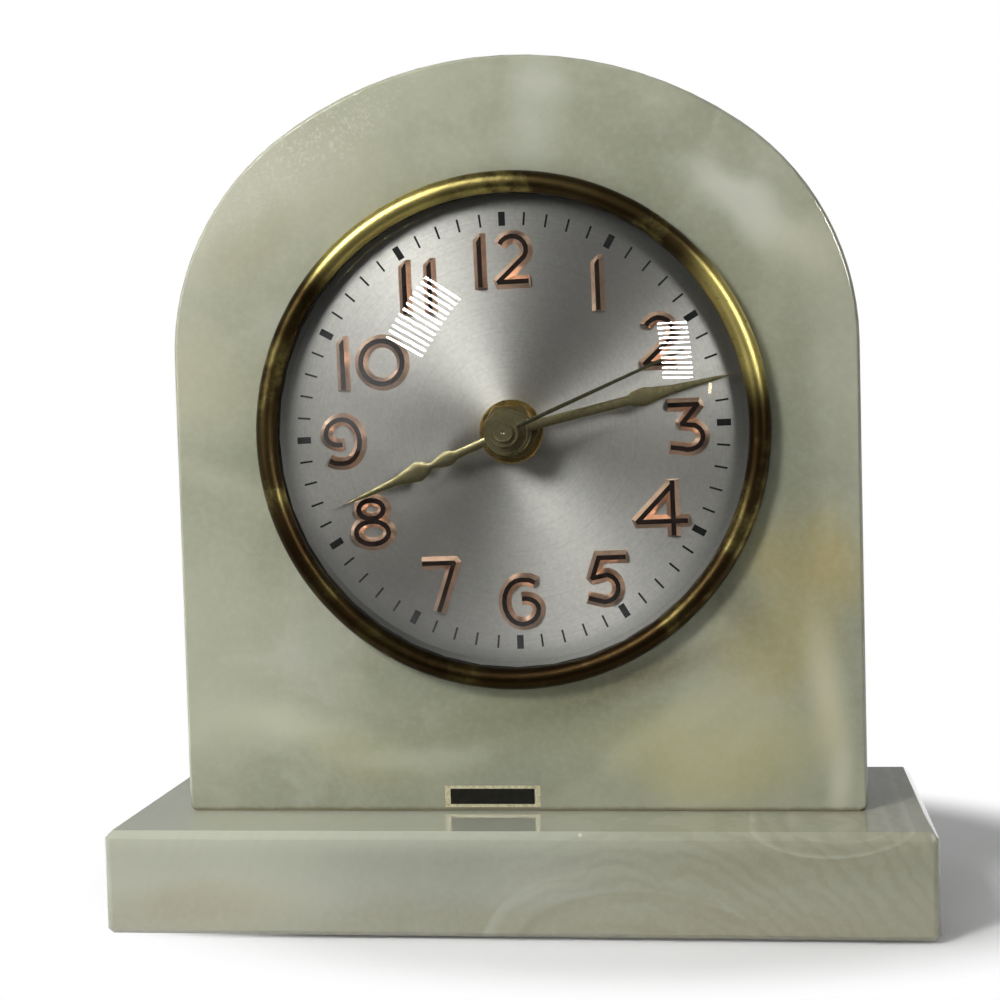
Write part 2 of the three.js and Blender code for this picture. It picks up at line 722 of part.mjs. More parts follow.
function hourWheel() {
  const wheel = gear(wheelTooth, hourWheelTeeth, hourModule, setDirection, wheelAt(0));
  const pipe = rod(hourRadius, layerFront(0) - wheelThickness - 0.2, hourFoot + bossHeight - 0.2, [0, 0], hubSteps);
  const collar = rod(hourRadius + 1.2, layerFront(0) - 0.1, layerFront(0) + 0.4, [0, 0], hubSteps);
  return cut(join(wheel, pipe, collar), rod(hourBore, backPlateBack, secondFoot, [0, 0], hubSteps));
}

// Cannon pinion: long tube that carries the minute hand, with its pinion and the collar behind the centre wheel
const collarFront = layerFront(2) - wheelThickness - 0.15;
function cannonPinion() {
  const pipe = rod(cannonRadius, collarFront - 0.5, minuteFoot + bossHeight - 0.2, [0, 0], hubSteps);
  const pinion = gear(pinionTooth, cannonTeeth, motionModule, setDirection + 180 / cannonTeeth, pinionAt(1));
  const collar = rod(cannonRadius + 1, collarFront - 0.5, collarFront, [0, 0], hubSteps);
  return cut(join(pipe, pinion, collar), rod(cannonBore, backPlateBack, secondTop, [0, 0], hubSteps));
}

// Dished spring that lets the hands slip on the train when they are set
const clutchSpring = () => {
  const back = layerFront(2) + 0.15;
  const front = pinionAt(1)[0] - 0.15;
  const bore = cannonRadius + seatGap;
  return turned([[bore, front - 0.3], [bore + 1.6, back], [bore + 2, back + 0.25], [bore, front]]);
};

const centreWheel = () => cut(
  join(
    gear(wheelTooth, centreWheelTeeth, trainModule, slowDirection, wheelAt(2)),
    rod(cannonRadius + 1.5, layerFront(2) - wheelThickness, layerFront(2), [0, 0], hubSteps),
  ),
  rod(cannonRadius + seatGap, backPlateBack, 0, [0, 0], hubSteps),
);

function intermediateWheel() {
  const arbor = turned([
    [0, backPlateBack + 0.3], [pivotRadius, backPlateBack + 0.3], [pivotRadius, backPlateFront + 0.3],
    [slowArborRadius, backPlateFront + 0.3], [slowArborRadius, frontPlateBack - 0.3],
    [pivotRadius, frontPlateBack - 0.3], [pivotRadius, frontPlateFront - 0.3], [0, frontPlateFront - 0.3],
  ], pinSteps, slowArborAt);
  const wheel = gear(wheelTooth, slowWheelTeeth, slowModule, slowDirection + 180, wheelAt(3), slowArborAt);
  const pinion = gear(pinionTooth, slowPinionTeeth, trainModule, slowDirection + 180 + 180 / slowPinionTeeth, pinionAt(2), slowArborAt);
  return join(arbor, wheel, pinion);
}

function secondsArbor() {
  const arbor = turned([
    [0, backPlateBack + 0.3], [pivotRadius, backPlateBack + 0.3], [pivotRadius, backPlateFront + 0.3],
    [arborRadius, backPlateFront + 0.3], [arborRadius, secondTop - 0.8], [0, secondTop - 0.8],
  ]);
  const pinion = gear(pinionTooth, secondPinionTeeth, slowModule, slowDirection + 180 / secondPinionTeeth, pinionAt(3));
  const wheel = gear(wheelTooth, secondWheelTeeth, rotorModule, rotorDirection, wheelAt(4));
  return join(arbor, pinion, wheel);
}

const rotorPinion = () => join(
  gear(pinionTooth, rotorTeeth, rotorModule, rotorDirection + 180 + 180 / rotorTeeth, pinionAt(4), rotorAt),
  rod(setArborRadius - 0.1, backPlateBack - 3, pinionAt(4)[1], rotorAt),
);

const knobFront = coverBack - knobGap;
function setArbor() {
  const arbor = turned([
    [0, knobFront - knobLength + 1.2], [setArborRadius, knobFront - knobLength + 1.2], [setArborRadius, frontPlateBack - 0.3],
    [pivotRadius, frontPlateBack - 0.3], [pivotRadius, frontPlateFront - 0.3], [0, frontPlateFront - 0.3],
  ], pinSteps, setArborAt);
  const wheel = gear(wheelTooth, minuteWheelTeeth, motionModule, setDirection + 180, wheelAt(1), setArborAt);
  const pinion = gear(pinionTooth, setPinionTeeth, hourModule, setDirection + 180 + 180 / setPinionTeeth, pinionAt(0), setArborAt);
  return join(arbor, wheel, pinion);
}

// Fluted knob with a plain collar towards the cover
function setKnob() {
  const flutes = Array.from({ length: 40 }, (_, i) => {
    const [x, y] = polar(knobRadius - (i % 2) * 0.35, i * 9);
    return new THREE.Vector2(x, y);
  });
  const grip = plate(flutes, knobFront - knobLength, knobFront - 1);
  const collar = rod(knobRadius - 1.4, knobFront - 1.2, knobFront, [0, 0], hubSteps);
  const knob = join(grip, collar).translate(...setArborAt, 0);
  return cut(knob, rod(setArborRadius + seatGap, knobFront - knobLength + 1.1, knobFront + 1, setArborAt));
}

const rotorUnit = () => turned([
  [0, backPlateBack - 3.3], [setArborRadius + 0.2, backPlateBack - 3.3], [setArborRadius + 0.2, backPlateBack],
  [rotorCanRadius - 0.8, backPlateBack], [rotorCanRadius, backPlateBack - 0.8],
  [rotorCanRadius, backPlateBack - rotorCanLength + 0.8], [rotorCanRadius - 0.8, backPlateBack - rotorCanLength],
  [0, backPlateBack - rotorCanLength],
], hubSteps, rotorAt);

// Laminated stack: upper yoke round the rotor can, two limbs, and the leg that passes through the coil
const legTop = legCentre + legHeight / 2;
const stackFoot = legCentre - legHeight / 2;
const statorCore = () => plate(
  rectangle(-stackHalfWidth, stackFoot, stackHalfWidth, plateTop), stackBack, backPlateBack,
  [
    rectangle(stackLimb - stackHalfWidth, legTop, stackHalfWidth - stackLimb, yokeFoot),
    circle(rotorCanRadius + rotorGap, hubSteps, rotorAt),
    ...pillars.slice(0, 2).map((at) => pinHole(screwRadius + pivotGap, at)),
  ],
);

// Square-section sleeve on the coil leg, lying along x
const legMiddle = backPlateBack - stackDepth / 2;
function sleeve(inner, outer, x0, x1) {
  const outline = (grow) => rectangle(
    legCentre - legHeight / 2 - grow, legMiddle - stackDepth / 2 - grow,
    legCentre + legHeight / 2 + grow, legMiddle + stackDepth / 2 + grow,
  );
  return plate(outline(outer), x0, x1, [outline(inner)])
    .applyMatrix4(new THREE.Matrix4().set(0, 0, 1, 0, 1, 0, 0, 0, 0, 1, 0, 0, 0, 0, 0, 1));
}

const coilBobbin = () => {
  const half = bobbinLength / 2;
  const flange = bobbinFlange - legHeight / 2;
  return join(
    sleeve(0.15, bobbinWall, -half, half),
    sleeve(0.15, flange, -half, flangeThickness - half),
    sleeve(0.15, flange, half - flangeThickness, half),
  );
};

const fieldCoil = () => {
  const half = bobbinLength / 2 - flangeThickness - seatGap;
  return sleeve(bobbinWall + seatGap, bobbinWall + seatGap + coilBuild, -half, half);
};

// Posts stand on the dial pan, and the cover screws draw the two together through the slab
const posts = [[-postSpacing / 2, 0], [postSpacing / 2, 0]];
const coverPost = (at) => cut(
  turned([
    [0, coverInside], [postRadius, coverInside], [postRadius, panBack - 1.2],
    [postRadius + 1.4, panBack - 1.2], [postRadius + 1.4, panBack], [0, panBack],
  ], pinSteps, at),
  rod(coverScrewRadius + seatGap, coverInside - 1, coverInside + coverScrewLength, at),
);

function coverScrew(at) {
  const screw = turned([
    [0, coverBack - coverScrewHeadHeight], [coverScrewHead - 0.9, coverBack - coverScrewHeadHeight],
    [coverScrewHead, coverBack - 0.7], [coverScrewHead, coverBack], [coverScrewRadius, coverBack],
    [coverScrewRadius, coverBack + coverScrewLength], [0, coverBack + coverScrewLength],
  ], pinSteps, at);
  const slotFloor = coverBack - coverScrewHeadHeight + 0.9;
  return cut(screw, plate(rectangle(at[0] - 5, at[1] - 0.4, at[0] + 5, at[1] + 0.4), coverBack - 4, slotFloor));
}

// Pressed cup over the movement, with vents, and holes for the setting arbor, screws and cord bush
function rearCover() {
  const outerCorner = [];
  const innerCorner = [];
  for (let i = 0; i <= 2; i += 1) {
    const angle = (i / 2) * (Math.PI / 2);
    const centre = [coverRadius - coverCornerRadius, coverBack + coverCornerRadius];
    const inside = coverCornerRadius - coverWall;
    outerCorner.push([centre[0] + coverCornerRadius * Math.cos(angle), centre[1] - coverCornerRadius * Math.sin(angle)]);
    innerCorner.unshift([centre[0] + inside * Math.cos(angle), centre[1] - inside * Math.sin(angle)]);
  }
  const cup = turned([
    [coverRadius - coverWall, -slabThickness], [coverFlangeRadius, -slabThickness],
    [coverFlangeRadius, -slabThickness - coverWall], [coverRadius, -slabThickness - coverWall],
    ...outerCorner, [0, coverBack], [0, coverInside], ...innerCorner,
  ], coverSteps);
  const vents = [-1, 1].flatMap((side) => [0, 1, 2].map((row) => {
    const x = side * (ventLength * 0.5 + 3);
    const y = 14 + row * ventPitch;
    const slot = roundedRectangle(x - ventLength / 2, y - ventWidth / 2, x + ventLength / 2, y + ventWidth / 2, ventWidth / 2 - 0.01, 3);
    return plate(slot, coverBack - 1, coverInside + 1);
  }));
  return cut(
    cup, ...vents,
    rod(setArborRadius + 1, coverBack - 1, coverInside + 1, setArborAt),
    rod(grommetRadius + 0.2, coverBack - 1, coverInside + 1, grommetAt, hubSteps),
    ...posts.map((at) => rod(coverScrewRadius + 0.3, coverBack - 1, coverInside + 1, at)),
  );
}

const cordGrommet = () => turned([
  [cordHoleRadius, coverInside + 1], [grommetRadius + 0.8, coverInside + 1], [grommetRadius + 0.8, coverInside],
  [grommetRadius, coverInside], [grommetRadius, coverBack], [grommetFlange, coverBack],
  [grommetFlange, coverBack - 0.9], [grommetFlange - 0.5, coverBack - 1.4], [cordHoleRadius, coverBack - 1.4],
], hubSteps, grommetAt);

const materials = {
  onyx: { color: '#a9a98c', roughness: 0.12, metalness: 0 },
  felt: { color: '#3b4a34', roughness: 0.95, metalness: 0 },
  steel: { color: '#9a9a96', roughness: 0.4, metalness: 1 },
  brass: { color: '#b79a5c', roughness: 0.32, metalness: 1 },
  gilt: { color: '#9b8a55', roughness: 0.45, metalness: 1 },
  silver: { color: '#a9aca0', roughness: 0.35, metalness: 0.9 },
  glass: { color: '#f2f6f2', roughness: 0.03, metalness: 0 },
  black: { color: '#1c1a17', roughness: 0.5, metalness: 0 },
  copper: { color: '#8a5a34', roughness: 0.6, metalness: 0.6 },
};

const clock = new THREE.Group();
const face = new THREE.Group();
face.position.set(0, slabFront, dialCentre);
face.rotation.x = Math.PI / 2;
clock.add(face);

function place(parent, name, material, geometry) {
  const flat = closed(geometry).toNonIndexed();
  flat.computeVertexNormals();
  const mesh = new THREE.Mesh(flat, new THREE.MeshStandardMaterial(materials[material]));
  mesh.name = name;
  parent.add(mesh);
}

// Stone work, in heights above the floor
place(clock, 'onyx_base', 'onyx', onyxBase());
place(clock, 'onyx_body', 'onyx', onyxBody());
place(clock, 'base_felt', 'felt', plate(
  rectangle(feltInset - baseWidth / 2, feltInset - baseDepth / 2, baseWidth / 2 - feltInset, baseDepth / 2 - feltInset),
  0, feltThickness,
));
studPlaces.forEach(([x, y], i) => {
  const side = ['left', 'right'][i];
  place(clock, `stud_${side}`, 'steel', rod(studRadius, studFoot, studFoot + studLength, [x, y], hubSteps));
  place(clock, `stud_washer_${side}`, 'steel', tube(studRadius + 0.2, studWasherRadius, washerBack, washerBack + studWasherThickness, [x, y]));
  place(clock, `stud_nut_${side}`, 'steel', hexNut(studNutAcross, studRadius + seatGap, washerBack - studNutHeight, washerBack).translate(x, y, 0));
});

// Dial side, from the slab's face outwards
const labelFoot = labelRise - dialRise;
place(face, 'foil_label', 'black', plate(
  rectangle(labelOffset - labelWidth / 2, labelFoot, labelOffset + labelWidth / 2, labelFoot + labelHeight), 0, labelThickness,
));
place(face, 'bezel', 'brass', bezelRing());
place(face, 'dial_glass', 'glass', dialGlass());
place(face, 'glass_spacer', 'black', tube(rimRadius - spacerWidth, pocketRadius - dialFit, dialFront, dialFront + spacerThickness, [0, 0], glassSteps));
place(face, 'dial', 'silver', dialWithNumerals());
place(face, 'dial_pan', 'steel', tube(bushingRadius + 0.25, dialRadius, panBack, dialBack, [0, 0], coverSteps));
place(face, 'centre_bushing', 'brass', centreBushing());
place(face, 'dial_washer', 'brass', tube(bushingRadius + 0.15, dialWasherRadius, dialFront, washerFront));
place(face, 'dial_nut', 'brass', hexNut(dialNutAcross, bushingRadius + seatGap, washerFront, nutFront));
place(face, 'hour_hand', 'gilt', hourHand());
place(face, 'minute_hand', 'gilt', minuteHand());
place(face, 'second_hand', 'gilt', secondHand());

// Movement behind the dial
place(face, 'front_plate', 'brass', frontPlate());
place(face, 'back_plate', 'brass', backPlate());
pillars.forEach((at, i) => {
  place(face, `plate_pillar_${i + 1}`, 'brass', pillar(at));
  place(face, `plate_screw_${i + 1}`, 'steel', plateScrew(at, i < 2 ? stackBack : backPlateBack));
});
place(face, 'hour_wheel', 'brass', hourWheel());
place(face, 'cannon_pinion', 'brass', cannonPinion());
place(face, 'clutch_spring', 'steel', clutchSpring());
place(face, 'centre_wheel', 'brass', centreWheel());
place(face, 'intermediate_wheel', 'brass', intermediateWheel());
place(face, 'seconds_arbor', 'steel', secondsArbor());
place(face, 'rotor_pinion', 'steel', rotorPinion());
place(face, 'set_arbor', 'steel', setArbor());
place(face, 'set_knob', 'black', setKnob());
place(face, 'rotor_unit', 'copper', rotorUnit());
place(face, 'stator_core', 'steel', statorCore());
place(face, 'coil_bobbin', 'black', coilBobbin());
place(face, 'field_coil', 'copper', fieldCoil());
posts.forEach((at, i) => {
  place(face, `cover_post_${i + 1}`, 'steel', coverPost(at));
  place(face, `cover_screw_${i + 1}`, 'steel', coverScrew(at));
});
place(face, 'rear_cover', 'black', rearCover());
place(face, 'cord_grommet', 'black', cordGrommet());

export default clock;
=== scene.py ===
from math import cos, pi, radians, sin

import bmesh
import bpy
from mathutils import Matrix, Vector


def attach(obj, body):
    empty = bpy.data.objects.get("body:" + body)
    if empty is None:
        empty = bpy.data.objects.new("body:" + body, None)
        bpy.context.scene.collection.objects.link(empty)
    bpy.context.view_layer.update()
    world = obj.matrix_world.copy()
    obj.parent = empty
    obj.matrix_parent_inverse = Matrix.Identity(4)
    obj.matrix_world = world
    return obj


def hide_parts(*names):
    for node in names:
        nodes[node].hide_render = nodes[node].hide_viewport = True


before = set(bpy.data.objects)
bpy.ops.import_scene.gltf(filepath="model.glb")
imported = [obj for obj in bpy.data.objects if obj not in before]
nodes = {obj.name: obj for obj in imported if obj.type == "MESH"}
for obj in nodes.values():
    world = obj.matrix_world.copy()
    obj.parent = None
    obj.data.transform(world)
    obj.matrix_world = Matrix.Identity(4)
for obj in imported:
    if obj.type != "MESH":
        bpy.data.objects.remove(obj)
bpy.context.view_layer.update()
scene = bpy.context.scene
mm = 0.001
slabFront = -14.125  # the slab's front face, along y in mm
dialCentre = 104.3  # height of the dial's centre in mm


def onFace(x, up, out):  # mm on the clock's face to metres in the frame
    return Vector((x * mm, (slabFront - out) * mm, (dialCentre + up) * mm))


faceCentre = onFace(0, 0, 0)
print("frame loaded:", len(nodes), "solids")

# Meshes
meshRules = {
    "weld": 0.002,  # mm between points that are one
    "inLine": 0.6,  # degrees between faces that are one flat
    "largeFlat": 400,  # mm2 of a face that is shaded flat
    "straightAhead": 0.99999,  # least share of a normal along y that is shaded flat
    "faceOn": 0.9,  # least share of a normal towards the viewer on a front face
    "smallRound": 96,  # faces round a small turned piece
}


def weld(bm):
    bmesh.ops.remove_doubles(bm, verts=bm.verts, dist=meshRules["weld"] * mm)


def facesFront(f):
    return f.normal.y < -meshRules["faceOn"]


def copyOf(name):  # welded copy of a CAD solid, flat faces made whole again
    bm = bmesh.new()
    bm.from_mesh(nodes[name].data)
    weld(bm)
    bmesh.ops.dissolve_limit(bm, angle_limit=radians(meshRules["inLine"]), verts=bm.verts, edges=bm.edges)
    return bm


def lathe(profile, steps, closed=True):  # profile of (radius, out) in mm, spun round the dial's axis
    bm = bmesh.new()
    verts = [bm.verts.new(onFace(r, 0, out)) for r, out in profile]
    ends = verts[1:] + verts[:1] if closed else verts[1:]
    for a, b in zip(verts, ends):
        bm.edges.new((a, b))
    outline = bm.verts[:] + bm.edges[:]
    bmesh.ops.spin(
        bm, geom=outline, cent=faceCentre, axis=(0, 1, 0), angle=2 * pi, steps=steps, use_merge=True
    )
    weld(bm)
    bmesh.ops.recalc_face_normals(bm, faces=bm.faces)
    return bm


def roundEdges(bm, width, least, segments=2, keep=lambda e: True):  # edges sharper than least degrees
    edges = [e for e in bm.edges if e.is_manifold and e.calc_face_angle(0) > radians(least) and keep(e)]
    bmesh.ops.bevel(
        bm,
        geom=edges,
        offset=width * mm,
        segments=segments,
        profile=0.5,
        affect="EDGES",
        material=-1,
        clamp_overlap=True,
    )
    return bm


def finishPiece(bm, name, body, materials, stands=(), sharp=34):
    mesh = bpy.data.meshes.new(name)
    bm.normal_update()
    for f in bm.faces:  # large flats and all that face straight ahead or back stay flat
        ahead = abs(f.normal.y) >= meshRules["straightAhead"]
        f.smooth = not ahead and f.calc_area() < meshRules["largeFlat"] * mm * mm
    for e in bm.edges:
        e.smooth = e.calc_face_angle(0) < radians(sharp)
    bm.to_mesh(mesh)
    bm.free()
    for material in materials:
        mesh.materials.append(material)
    piece = bpy.data.objects.new(name, mesh)
    scene.collection.objects.link(piece)
    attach(piece, body)
    if stands:
        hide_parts(*stands)


# Materials
eased = {"interpolation_type": "SMOOTHSTEP"}  # a map range that starts and ends gently
waveScale = 0.314  # a wave texture's scale for one wave in a unit of length
faceOnly = (1, 0, 1)  # drops the depth, so that a distance is seen from the front


def linear(hexColour):
    values = [int(hexColour[i : i + 2], 16) / 255 for i in (1, 3, 5)]
    return [v / 12.92 if v <= 0.04045 else ((v + 0.055) / 1.055) ** 2.4 for v in values] + [1]


# One node: an input takes a number, a hex colour, or the node or socket that feeds it
def add(tree, kind, inputs=None, **settings):
    node = tree.nodes.new("ShaderNode" + kind)
    for key, value in settings.items():
        if key == "stops":
            ramp = node.color_ramp
            while len(ramp.elements) < len(value):
                ramp.elements.new(1)
            for element, (place, colour) in zip(ramp.elements, value):
                element.position, element.color = place, linear(colour)
        else:
            setattr(node, key, value)
    for key, value in (inputs or {}).items():
        if isinstance(value, bpy.types.Node):
            value = next(s for s in value.outputs if s.enabled)
        if isinstance(value, bpy.types.NodeSocket):
            tree.links.new(value, node.inputs[key])
        else:
            node.inputs[key].default_value = linear(value) if isinstance(value, str) else value
    return node


def newMaterial(name, settings):
    material = bpy.data.materials.new(name)
    material.use_nodes = True
    tree = material.node_tree
    tree.nodes.clear()
    shader = add(tree, "BsdfPrincipled", settings)
    add(tree, "OutputMaterial", {"Surface": shader})
    place = add(tree, "TexCoord").outputs["Object"]
    return material, tree, shader, place


def setSurface(tree, surface):
    output = next(n for n in tree.nodes if n.type == "OUTPUT_MATERIAL")
    tree.links.new(surface.outputs[0], output.inputs["Surface"])


def distanceFrom(tree, place, x, z):  # metres on the clock's face from a spot given in mm
    offset = add(tree, "VectorMath", {0: place, 1: (x * mm, 0, z * mm)}, operation="SUBTRACT")
    offset = add(tree, "VectorMath", {0: offset, 1: faceOnly}, operation="MULTIPLY")
    return add(tree, "VectorMath", {0: offset}, operation="LENGTH")


# A cloud, line or stain of the stone, or in some places painted light and shade: its amount fades out from
# its middle, given in mm as x and z
def patchAmount(tree, place, flow, patch):
    x, z = patch["at"]
    wide, tall = patch["size"]
    start = place if patch.get("crisp") else flow
    turned = add(tree, "VectorMath", {0: start, 1: (x * mm, 0, z * mm)}, operation="SUBTRACT")
    turn = radians(patch.get("turn", 0))
    turned = add(tree, "VectorRotate", {"Vector": turned, "Angle": turn}, rotation_type="Y_AXIS")
    scale = (1 / (wide * mm), 0, 1 / (tall * mm))
    turned = add(tree, "VectorMath", {0: turned, 1: scale}, operation="MULTIPLY")
    reach = add(tree, "VectorMath", {0: turned}, operation="LENGTH")
    if "rim" in patch:  # only a thin curved line of it
        rim = {"Value": reach, "From Min": 1 - patch["rim"], "From Max": 1, "To Max": patch["amount"]}
        inside = add(tree, "MapRange", rim, **eased)
        rim = {"Value": reach, "From Min": 1 + patch["rim"] / 3, "From Max": 1}
        outside = add(tree, "MapRange", rim, **eased)
        amount = add(tree, "Math", {0: inside, 1: outside}, operation="MULTIPLY")
    else:
        core = patch.get("core", 0.25)
        fade = {"Value": reach, "From Min": 1.25, "From Max": core, "To Max": patch["amount"]}
        amount = add(tree, "MapRange", fade, **eased)
    if "grain" in patch:  # broken up into specks
        scale = 1 / (patch["grain"] * mm)
        specks = add(tree, "TexNoise", {"Vector": place, "Scale": scale, "Detail": 4, "Roughness": 0.7})
        specks = add(tree, "MapRange", {"Value": specks, "From Min": 0.5, "From Max": 0.68}, **eased)
        amount = add(tree, "Math", {0: amount, 1: specks}, operation="MULTIPLY")
    return amount


# Curved growth lines, stronger towards one side
def bandAmount(tree, place, flow, bands):
    centred = add(tree, "Mapping", {"Vector": flow, "Location": [-v * mm for v in bands["centre"]]})
    waves = add(
        tree,
        "TexWave",
        {
            "Vector": centred,
            "Scale": waveScale / (bands["pitch"] * mm),
            "Distortion": bands["wobble"],
            "Detail": 3,
            "Detail Scale": 1.2,
            "Detail Roughness": 0.6,
        },
        wave_type="RINGS",
        rings_direction="Y",
    )
    across = add(tree, "SeparateXYZ", {0: place}).outputs[0]
    ends = {"From Min": bands["from"] * mm, "From Max": bands["to"] * mm}
    amounts = {"To Min": bands["faint"], "To Max": bands["amount"]}
    where = add(tree, "MapRange", {"Value": across, **ends, **amounts}, **eased)
    line = add(tree, "MapRange", {"Value": waves.outputs[1], "From Min": 0.35, "From Max": 0.9}, **eased)
    return add(tree, "Math", {0: where, 1: line}, operation="MULTIPLY")


# A thin uneven line of old glue along the slab's foot
def glueAmount(tree, place, foot):
    height = add(tree, "SeparateXYZ", {0: place}).outputs[2]
    grain = 1 / (foot["grain"] * mm)
    wander = add(tree, "TexNoise", {"Vector": place, "Scale": grain, "Detail": 4, "Roughness": 0.7})
    wander = add(tree, "Math", {0: wander, 1: foot["wander"] * mm, 2: height}, operation="MULTIPLY_ADD")
    ends = {"From Min": foot["top"] * mm, "From Max": (foot["top"] - foot["fade"]) * mm}
    return add(tree, "MapRange", {"Value": wander, **ends, "To Max": foot["amount"]}, **eased)


# Onyx, sawn and polished: a soft waxy stone with clouds that lie inside it, under a clear gloss
def makeOnyx(name, look):
    material, tree, shader, place = newMaterial(name, stoneLook["shader"])
    bend = {"Scale": 1 / (look["bendSize"] * mm), "Detail": 3, "Roughness": 0.55}
    bend = add(tree, "TexNoise", {"Vector": place, **bend})
    middle = (0.5, 0.5, 0.5)
    offset = add(tree, "VectorMath", {0: bend.outputs["Color"], 1: middle}, operation="SUBTRACT")
    offset = add(tree, "VectorMath", {0: offset, "Scale": look["bend"] * mm}, operation="SCALE")
    flow = add(tree, "VectorMath", {0: place, 1: offset}, operation="ADD")
    clouds = {"Scale": 1 / (look["cloudSize"] * mm), "Detail": 5, "Roughness": 0.55}
    clouds = add(tree, "TexNoise", {"Vector": flow, **clouds})
    colour = add(tree, "ValToRGB", {"Fac": clouds}, stops=look["clouds"])
    veil = {"Scale": 1 / (look["veilSize"] * mm), "Detail": 6, "Roughness": 0.62, "Distortion": 0.6}
    veil = add(tree, "TexNoise", {"Vector": flow, **veil})
    ends = {"From Min": 0.5, "From Max": 0.72, "To Max": look["veilAmount"]}
    veil = add(tree, "MapRange", {"Value": veil, **ends}, **eased)
    colour = add(tree, "Mix", {0: veil, 6: colour, 7: look["veil"]}, data_type="RGBA")
    for patch in look["patches"]:
        amount = patchAmount(tree, place, flow, patch)
        colour = add(tree, "Mix", {0: amount, 6: colour, 7: patch["colour"]}, data_type="RGBA")
    if "bands" in look:
        amount = bandAmount(tree, place, flow, look["bands"])
        colour = add(tree, "Mix", {0: amount, 6: colour, 7: look["bands"]["colour"]}, data_type="RGBA")
    scale = 1 / (stoneLook["fineSize"] * mm)
    fine = add(tree, "TexNoise", {"Vector": place, "Scale": scale, "Detail": 4, "Roughness": 0.65})
    ends = {"From Min": 0.35, "From Max": 0.75, "To Max": stoneLook["fineAmount"]}
    fine = add(tree, "MapRange", {"Value": fine, **ends}, **eased)
    colour = add(tree, "Mix", {0: fine, 6: colour, 7: look["fine"]}, data_type="RGBA")
    if "foot" in look:
        glue = glueAmount(tree, place, look["foot"])
        colour = add(tree, "Mix", {0: glue, 6: colour, 7: look["foot"]["colour"]}, data_type="RGBA")
    tree.links.new(colour.outputs[2], shader.inputs["Base Color"])
    scale = 1 / (stoneLook["smearSize"] * mm)
    smear = add(tree, "TexNoise", {"Vector": place, "Scale": scale, "Detail": 5, "Roughness": 0.6})
    ends = {"From Min": 0.3, "From Max": 0.75, "To Min": look["gloss"][0], "To Max": look["gloss"][1]}
    gloss = add(tree, "MapRange", {"Value": smear, **ends})
    tree.links.new(gloss.outputs[0], shader.inputs["Roughness"])
    scale = 1 / (stoneLook["swellSize"] * mm)
    swell = add(tree, "TexNoise", {"Vector": place, "Scale": scale, "Detail": 2})
    depth = stoneLook["swellDepth"] * mm
    swell = add(tree, "Bump", {"Height": swell, "Strength": 0.12, "Distance": depth})
    tree.links.new(swell.outputs[0], shader.inputs["Normal"])
    return material


